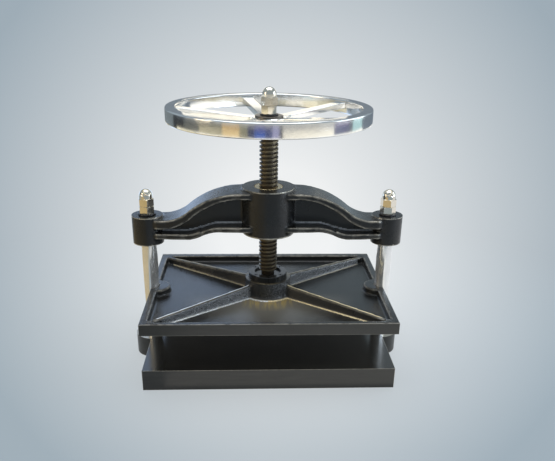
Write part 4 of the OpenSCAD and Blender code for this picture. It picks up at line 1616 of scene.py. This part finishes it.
        for name, tint, left, right in (
                ("left", (0.98, 1.26, 1.72), -0.70, -0.05), ("middle", (0.98, 1.10, 1.22), -0.05, 0.09),
                ("right", (0.46, 0.56, 0.62), 0.09, 0.60)):
            self.card("card_window_" + name, tint, upright(rectangle(left, right, 0.22, 0.40), 0.36))
        corner = [
            (-1.40, -1.15), (-0.22, -1.15), (-0.22, -0.62), (-0.42, -0.50), (-0.42, 0.45), (-1.40, 0.45)]
        for name, tint, outline in (
                ("gold", (0.60, 0.475, 0.25), corner),
                ("front", (1.1, 1.1, 1.067), rectangle(-0.20, 0.42, -0.60, -0.17)),
                ("white", (0.95, 0.97, 1.0), rectangle(0.42, 1.60, -0.60, 0.60))):
            self.card(f"card_{name}_floor", tint, flat(outline, 2 * MM))

    def lamp(self, name, place, size, radiance, tint):
        """A soft lamp that looks at the press. Its power follows from how bright its face is."""
        aim = Vector((0, 0, 0.2))
        data = bpy.data.lights.new(name, "AREA")
        data.shape = "RECTANGLE"
        data.size, data.size_y = size
        data.energy = radiance * math.pi * size[0] * size[1]
        data.color = tint
        lamp = bpy.data.objects.new(name, data)
        lamp.location = place
        lamp.rotation_euler = (aim - Vector(place)).to_track_quat("-Z", "Y").to_euler()
        lamp.visible_camera = False
        bpy.context.scene.collection.objects.link(lamp)

    def world(self, settings):
        """The backdrop for the camera and for reflections, coloured as a painted pool of light, and an even
        light from all sides for the press.
        """
        world = bpy.data.worlds.new("Studio")
        bpy.context.scene.world = world
        world.use_nodes = True
        tree = world.node_tree
        direction = tree.nodes.new("ShaderNodeTexCoord").outputs["Generated"]
        background = tree.nodes["Background"]
        tree.links.new(self.painted_light_pool(tree, direction, settings), background.inputs["Color"])
        room = tree.nodes.new("ShaderNodeBackground")
        room.inputs["Color"].default_value = solid((0.95, 0.98, 1.0))
        room.inputs["Strength"].default_value = settings.daylight
        mix = tree.nodes.new("ShaderNodeMixShader")
        tree.links.new(self.seen(tree), mix.inputs["Fac"])
        tree.links.new(room.outputs["Background"], mix.inputs[1])
        tree.links.new(background.outputs["Background"], mix.inputs[2])
        tree.links.new(mix.outputs["Shader"], tree.nodes["World Output"].inputs["Surface"])

    def camera(self, settings):
        """The photograph's view of the press."""
        right, up, forward = self.view_axes(settings)
        data = bpy.data.cameras.new("camera")
        data.sensor_width = settings.sensor
        data.lens = settings.lens
        data.shift_x, data.shift_y = settings.shift_x, settings.shift_y
        camera = bpy.data.objects.new("camera", data)
        bpy.context.scene.collection.objects.link(camera)
        rotation = camera.matrix_world.to_3x3()
        rotation.col[0], rotation.col[1], rotation.col[2] = right, up, -forward
        matrix = rotation.to_4x4()
        matrix.translation = Vector(settings.place)
        camera.matrix_world = matrix
        bpy.context.scene.camera = camera

    def execute(self, context):
        settings = context.scene.press_stage
        self.floor(settings)
        self.cards()
        self.lamp("top_light", (0.0, 0.25, 2.2), (2.0, 1.6), 2.9, (0.97, 0.99, 1.0))
        self.lamp("warm_light", (-1.25, -0.42, 0.62), (0.45, 0.9), 3.4, (1.0, 0.80, 0.52))
        self.lamp("cool_light", (1.30, 0.05, 0.62), (1.1, 1.0), 2.2, (0.86, 0.94, 1.0))
        self.world(settings)
        self.camera(settings)
        context.scene.view_settings.view_transform = "Standard"
        return {"FINISHED"}


class PRESS_PT_panel(bpy.types.Panel):
    """Lists the press's pieces, and the sizes and colours that shape them"""
    bl_idname = "PRESS_PT_panel"
    bl_label = "Press"
    bl_space_type = "VIEW_3D"
    bl_region_type = "UI"
    bl_category = "Press"

    def draw(self, context):
        for operator in OPERATORS:
            self.layout.operator(operator.bl_idname)
        for name, group_class in SETTINGS.items():
            box = self.layout.box()
            box.label(text=name.replace("press_", "").capitalize())
            for key in group_class.__annotations__:
                box.prop(getattr(context.scene, name), key)


SETTINGS = {
    "press_casting": PressCasting, "press_bed": PressBed, "press_yoke": PressYoke,
    "press_platen": PressPlaten, "press_ring": PressRing, "press_screw": PressScrew,
    "press_wheel": PressWheel, "press_columns": PressColumns, "press_nuts": PressNuts,
    "press_finish": PressFinish, "press_stage": PressStage}
OPERATORS = (
    PRESS_OT_bed, PRESS_OT_yoke, PRESS_OT_platen, PRESS_OT_retainer, PRESS_OT_screw,
    PRESS_OT_handwheel, PRESS_OT_columns, PRESS_OT_fasteners, PRESS_OT_stage)


def register():
    for group_class in SETTINGS.values():
        bpy.utils.register_class(group_class)
    for name, group_class in SETTINGS.items():
        setattr(bpy.types.Scene, name, PointerProperty(type=group_class))
    for operator in OPERATORS:
        bpy.utils.register_class(operator)
    bpy.utils.register_class(PRESS_PT_panel)


def unregister():
    bpy.utils.unregister_class(PRESS_PT_panel)
    for operator in reversed(OPERATORS):
        bpy.utils.unregister_class(operator)
    for name, group_class in SETTINGS.items():
        delattr(bpy.types.Scene, name)
        bpy.utils.unregister_class(group_class)


def main():
    register()
    for operator in OPERATORS:
        family, name = operator.bl_idname.split(".")
        if getattr(getattr(bpy.ops, family), name)() != {"FINISHED"}:
            raise RuntimeError(f"{operator.bl_label} did not finish")


if __name__ == "__main__":
    main()
